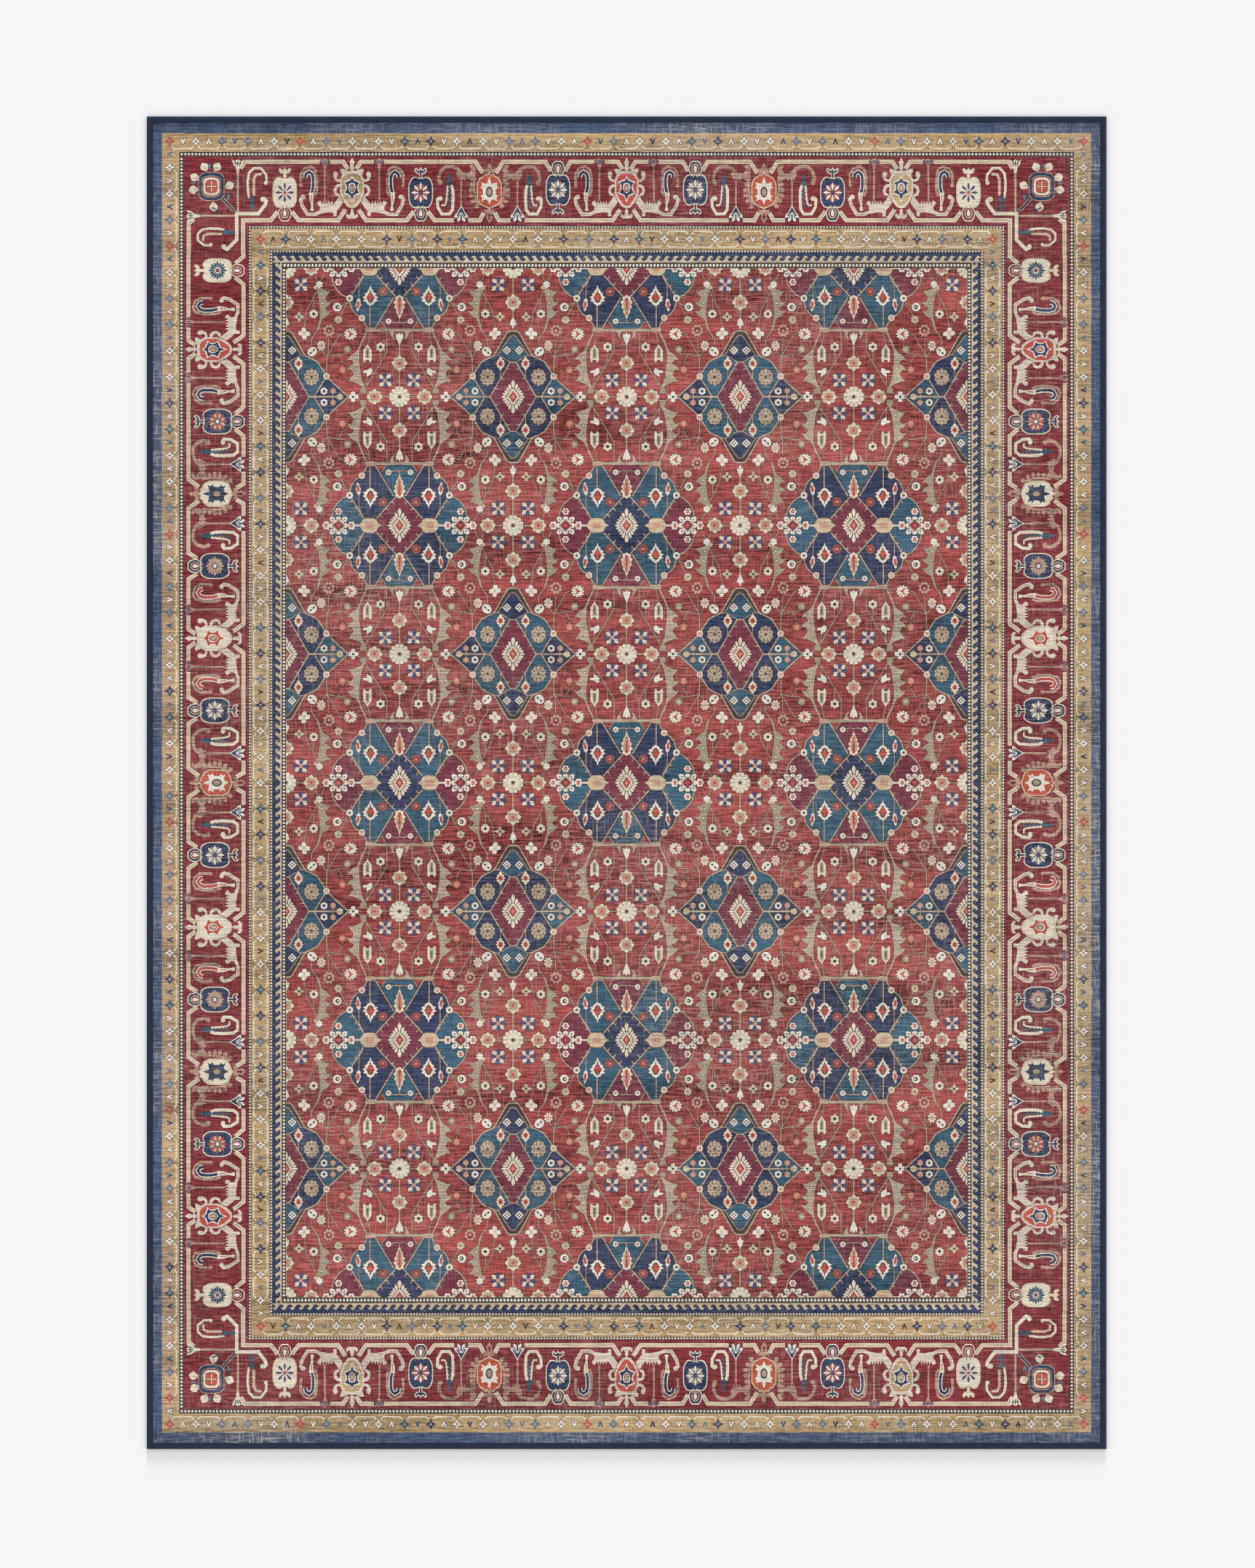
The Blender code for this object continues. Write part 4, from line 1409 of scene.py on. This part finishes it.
tape = {
    "dye": (41, 49, 68),
    "stitchPitch": 3.6,
    "stitch": (3.2, 0.85, 0.62),
    "seam": 8.2,
    "pull": (0.20, 0.04),  # at a stitch, and between two
    "pullReach": 1.9,
    "faces": (0.8, 5.5),  # below and above these lie the outer faces
    "hem": 9,
    "mapFolds": 9,
    "outline": [
        (10.0, 5.3), (9.9, 6.0), (9.3, 6.27), (8.2, 6.12), (7.1, 6.28), (5.0, 6.3), (2.3, 6.3),
        (1.3, 6.1), (0.6, 5.6), (0.15, 4.9), (0, 4.0), (0, 2.3), (0.15, 1.4), (0.6, 0.65),
        (1.3, 0.17), (2.3, 0), (6.6, 0), (8.2, 0.3), (9.4, 0.02), (10, 0.3), (10, 1.1), (6, 1.2),
        (2.6, 1.2), (1.2, 2.5), (1.2, 3.8), (2.6, 5.1), (6, 5.1), (9.7, 5.1),
    ],
}
sideNodes = {"top": "back", "bottom": "front", "right": "right", "left": "left"}


def halfLength(side):
    return rugHalf[0] if side in ("top", "bottom") else rugHalf[1]


def buildBinding(name, material):
    half = halfLength(name)
    outline = tape["outline"]
    sections = 2 * round(2 * half / tape["stitchPitch"])
    strip = bmesh.new()
    bmesh.ops.create_grid(strip, x_segments=sections, y_segments=len(outline), size=1)
    layer = strip.loops.layers.uv.new("OFBake")
    folds = tape["mapFolds"]
    for face in strip.faces:
        middle = face.calc_center_median()
        fold = min(int((middle.x + 1) / 2 * folds), folds - 1)
        for loop in face.loops:
            along = (loop.vert.co.x + 1) / 2 * folds - fold
            loop[layer].uv = (along * 0.98 + 0.01, (fold + 0.05 + 0.9 * (loop.vert.co.y + 1) / 2) / folds)
    for vert in strip.verts:
        section = round((vert.co.x + 1) / 2 * sections)
        inward, z = outline[round((vert.co.y + 1) / 2 * len(outline)) % len(outline)]
        pull = tape["pull"][section % 2]
        near = max(0.0, 1 - abs(inward - tape["seam"]) / tape["pullReach"])
        # the seam draws the outer faces together, and the hem waves a little
        if z > tape["faces"][1]:
            z -= pull * near
        elif z < tape["faces"][0]:
            z += pull * near
        if inward > tape["hem"]:
            inward += 0.10 * math.sin(section * 0.13) - 0.06 * (section % 2)
        s = vert.co.x * half
        vert.co = (s * (1 - inward / half), inward, z)
    bmesh.ops.remove_doubles(strip, verts=strip.verts, dist=0.0005)
    bmesh.ops.holes_fill(strip, edges=[e for e in strip.edges if e.is_boundary], sides=0)
    bmesh.ops.transform(strip, matrix=sideMatrix(name), verts=strip.verts)
    node = sideNodes[name]
    made = keepMesh(f"binding_tape_{node}", strip, material, [f"binding_{node}"])


# A single thread loop, thinner where it dives into the tape.
def stitchMesh(length, wide, high):
    stitch = bmesh.new()
    bmesh.ops.create_uvsphere(stitch, u_segments=6, v_segments=5, radius=1)
    bmesh.ops.rotate(stitch, matrix=Matrix.Rotation(math.pi / 2, 3, "Y"), verts=stitch.verts)
    layer = stitch.loops.layers.uv.new("OFBake")
    for face in stitch.faces:
        for loop in face.loops:
            loop[layer].uv = (0.5 + 0.45 * loop.vert.co.x, 0.5 + 0.45 * loop.vert.co.y)
    bmesh.ops.scale(stitch, vec=(length / 2, wide / 2, high / 2), verts=stitch.verts)
    bmesh.ops.rotate(stitch, matrix=Matrix.Rotation(math.radians(5), 3, "Z"), verts=stitch.verts)
    return asMesh("stitch", stitch)


def buildStitches(name, height, nodes, material):
    piece = bmesh.new()
    stitch = stitchMesh(*tape["stitch"])
    for side in sideNodes:
        half = halfLength(side)
        count = 2 * round(half / tape["stitchPitch"])
        pitch = 2 * half / count
        inner = count - 6  # the corners' mitres stay free
        row = arrayed(stitch, [(inner, (pitch, 0, 0))])
        start = len(piece.verts)
        piece.from_mesh(row)
        piece.verts.ensure_lookup_table()
        lie = sideMatrix(side) @ Matrix.Translation((-(inner - 1) * pitch / 2, tape["seam"], height))
        bmesh.ops.transform(piece, matrix=lie, verts=piece.verts[start:])
    keepMesh(name, piece, material, nodes)


def planarMap(piece):
    layer = piece.loops.layers.uv.new("OFBake")
    xs = [v.co.x for v in piece.verts]
    ys = [v.co.y for v in piece.verts]
    low, wide, tall = (min(xs), min(ys)), max(xs) - min(xs), max(ys) - min(ys)
    for face in piece.faces:
        for loop in face.loops:
            loop[layer].uv = ((loop.vert.co.x - low[0]) / wide, (loop.vert.co.y - low[1]) / tall)


def slab(low, high, bevel):
    piece = bmesh.new()
    bmesh.ops.create_cube(piece, size=1)
    bmesh.ops.scale(piece, vec=high - low, verts=piece.verts)
    bmesh.ops.translate(piece, vec=(low + high) / 2, verts=piece.verts)
    bmesh.ops.bevel(piece, geom=piece.edges[:], offset=bevel, segments=2, profile=0.5, affect="EDGES",
        material=-1)
    return piece


grip = {
    "pitch": 18.0,
    "low": 2.7,
    "top": 1.9,
    "height": 0.36,
    "margin": (16, 24),
    "aroundLabel": (30, 20),
}
labelSettings = {
    "size": (50.0, 30.0),
    "fromSide": 175.0,
    "fromEnd": 25.6,
    "bottom": 0.04,
    "top": 0.32,
    "stitch": (2.1, 0.5, 0.3),
    "stitches": 10,
    "stitchPitch": 2.7,
    "stitchesIn": 2.2,
    "stitchHeight": 0.17,
}
labelAt = (rugHalf[0] - labelSettings["fromSide"], rugHalf[1] - labelSettings["fromEnd"])


def buildInterlining():
    low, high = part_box("interlining")
    piece = slab(low / mm, high / mm, 0.3)
    planarMap(piece)
    material = simpleCloth("greyFelt", (205, 202, 196), 0.95, (900, 900, 900), 0.08, 0.0003)
    made = keepMesh("interlining_felt", piece, material, ["interlining"])


def buildGrip():
    low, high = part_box("grip_backing")
    low, high = low / mm, high / mm
    piece = slab(Vector((low.x, low.y, grip["height"])), high, 0.2)
    dot = bmesh.new()
    for x, y in ((0, 0), (grip["pitch"] / 2, grip["pitch"] * 0.866)):
        place = Matrix.Translation((x, y, grip["height"] / 2))
        bmesh.ops.create_cone(dot, cap_ends=True, segments=6, radius1=grip["top"], radius2=grip["low"],
            depth=grip["height"], matrix=place)
    bmesh.ops.delete(dot, geom=[f for f in dot.faces if f.calc_center_median().z > 0.9 * grip["height"]],
        context="FACES_ONLY")
    wide, tall = grip["pitch"], grip["pitch"] * 1.732
    columns = int((high.x - low.x - grip["margin"][0]) / wide)
    rows = int((high.y - low.y - grip["margin"][1]) / tall)
    dots = arrayed(asMesh("dot", dot), [(columns, (wide, 0, 0)), (rows, (0, tall, 0))])
    raised = bmesh.new()
    raised.from_mesh(dots)
    centre = Vector((-(columns - 0.5) * wide / 2 + wide / 4, -(rows - 0.5) * tall / 2 + tall / 4, 0))
    bmesh.ops.translate(raised, vec=centre, verts=raised.verts)
    (x, y), (besideX, besideY) = labelAt, grip["aroundLabel"]
    clear = [v for v in raised.verts if abs(v.co.x - x) < besideX and abs(v.co.y - y) < besideY]
    bmesh.ops.delete(raised, geom=clear, context="VERTS")
    planarMap(piece)
    planarMap(raised)
    material = simpleCloth("gripRubber", (188, 183, 174), 0.7, (240, 240, 240), 0.06, 0.0003)
    made = keepMesh("grip_sheet", piece, material, ["grip_backing"])
    grown = keepMesh("grip_dots", raised, material, [])


def buildLabel(threadMaterial):
    wide, tall = labelSettings["size"]
    x, y = labelAt
    piece = bmesh.new()
    bmesh.ops.create_grid(piece, x_segments=40, y_segments=24, size=0.5)
    thickness = labelSettings["top"] - labelSettings["bottom"]
    for vert in piece.verts:
        hem = 0.06 if abs(vert.co.x) > 0.44 else 0.0
        ripple = 0.03 * math.sin(9 * vert.co.x + 4 * vert.co.y)
        z = labelSettings["top"] - 0.04 - hem + ripple
        vert.co = (x + wide * vert.co.x, y + tall * vert.co.y, z)
    planarMap(piece)
    bmesh.ops.solidify(piece, geom=piece.faces[:], thickness=0.6 * thickness)
    lowest = min(v.co.z for v in piece.verts)
    bmesh.ops.translate(piece, vec=(0, 0, labelSettings["bottom"] - lowest), verts=piece.verts)
    satin = simpleCloth("blankSatin", (236, 234, 228), 0.35, (90, 1400, 90), 0.04, 0.0001)
    made = keepMesh("blank_label", piece, satin, ["care_label"])
    stitches = bmesh.new()
    count, pitch = labelSettings["stitches"], labelSettings["stitchPitch"]
    row = arrayed(stitchMesh(*labelSettings["stitch"]), [(count, (pitch, 0, 0))])
    turned = Matrix.Rotation(math.pi / 2, 4, "Z") @ Matrix.Translation((-(count - 1) * pitch / 2, 0, 0))
    for side in (-1, 1):
        start = len(stitches.verts)
        stitches.from_mesh(row)
        stitches.verts.ensure_lookup_table()
        edge = x + side * (wide / 2 - labelSettings["stitchesIn"])
        place = Matrix.Translation((edge, y, labelSettings["stitchHeight"])) @ turned
        bmesh.ops.transform(stitches, matrix=place, verts=stitches.verts[start:])
    sewn = keepMesh("label_stitches", stitches, threadMaterial, [])


tapeMaterial = ribbedTape()
threadMaterial = simpleCloth("navyThread", (46, 54, 76), 0.5, (500, 500, 500), 0.12, 0.0002)
paleThread = simpleCloth("paleThread", (226, 222, 212), 0.5, (500, 500, 500), 0.05, 0.0001)
for name in sideNodes:
    buildBinding(name, tapeMaterial)
buildStitches("needle_stitches", 6.16, [f"needle_thread_{n}" for n in sideNodes.values()], threadMaterial)
buildStitches("bobbin_stitches", 0.33, [f"bobbin_thread_{n}" for n in sideNodes.values()], threadMaterial)
buildInterlining()
buildGrip()
buildLabel(paleThread)
print("trims built")


# Stage
floorSettings = {"half": 16, "below": 0.0003, "grey": 0.90}


def buildStage():
    floor = bmesh.new()
    bmesh.ops.create_grid(floor, x_segments=1, y_segments=1, size=floorSettings["half"])
    bmesh.ops.translate(floor, vec=(0, 0, -floorSettings["below"]), verts=floor.verts)
    mesh = asMesh("floor", floor)
    material, _, shader = newMaterial("paleFloor", 0.9)
    grey = floorSettings["grey"]
    shader.inputs["Base Color"].default_value = (grey, grey, grey, 1)
    mesh.materials.append(material)
    ground = addObject("floor", mesh)


cameraSettings = {"lens": 100.0, "sensor": 36.0, "viewHeight": 2.4906, "x": 0.0014, "y": -0.0020}


def buildCamera():
    camera = bpy.data.cameras.new("camera")
    camera.lens = cameraSettings["lens"]
    camera.sensor_width = cameraSettings["sensor"]
    camera.clip_end = 60.0
    viewer = addObject("camera", camera)
    distance = cameraSettings["viewHeight"] * camera.lens / camera.sensor_width
    viewer.location = (cameraSettings["x"], cameraSettings["y"], distance + printZ)
    bpy.context.scene.camera = viewer


lightSettings = {"sky": 0.852, "sun": 2.62, "spread": 0.26, "from": (0.04, 1.0, 0.22)}


def buildLight():
    world = bpy.data.worlds.new("studio")
    bpy.context.scene.world = world
    world.use_nodes = True
    background = world.node_tree.nodes["Background"]
    background.inputs["Color"].default_value = (1, 1, 1, 1)
    background.inputs["Strength"].default_value = lightSettings["sky"]
    lamp = bpy.data.lights.new("softSun", "SUN")
    lamp.energy = lightSettings["sun"]
    lamp.angle = lightSettings["spread"]
    softSun = addObject("softSun", lamp)
    softSun.rotation_euler = Vector(lightSettings["from"]).to_track_quat("Z", "Y").to_euler()


buildStage()
buildCamera()
buildLight()
bpy.context.scene.view_settings.view_transform = "Standard"
print("stage built")

for cloth in printPieces:
    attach(cloth, "root")
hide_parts("face_cloth")
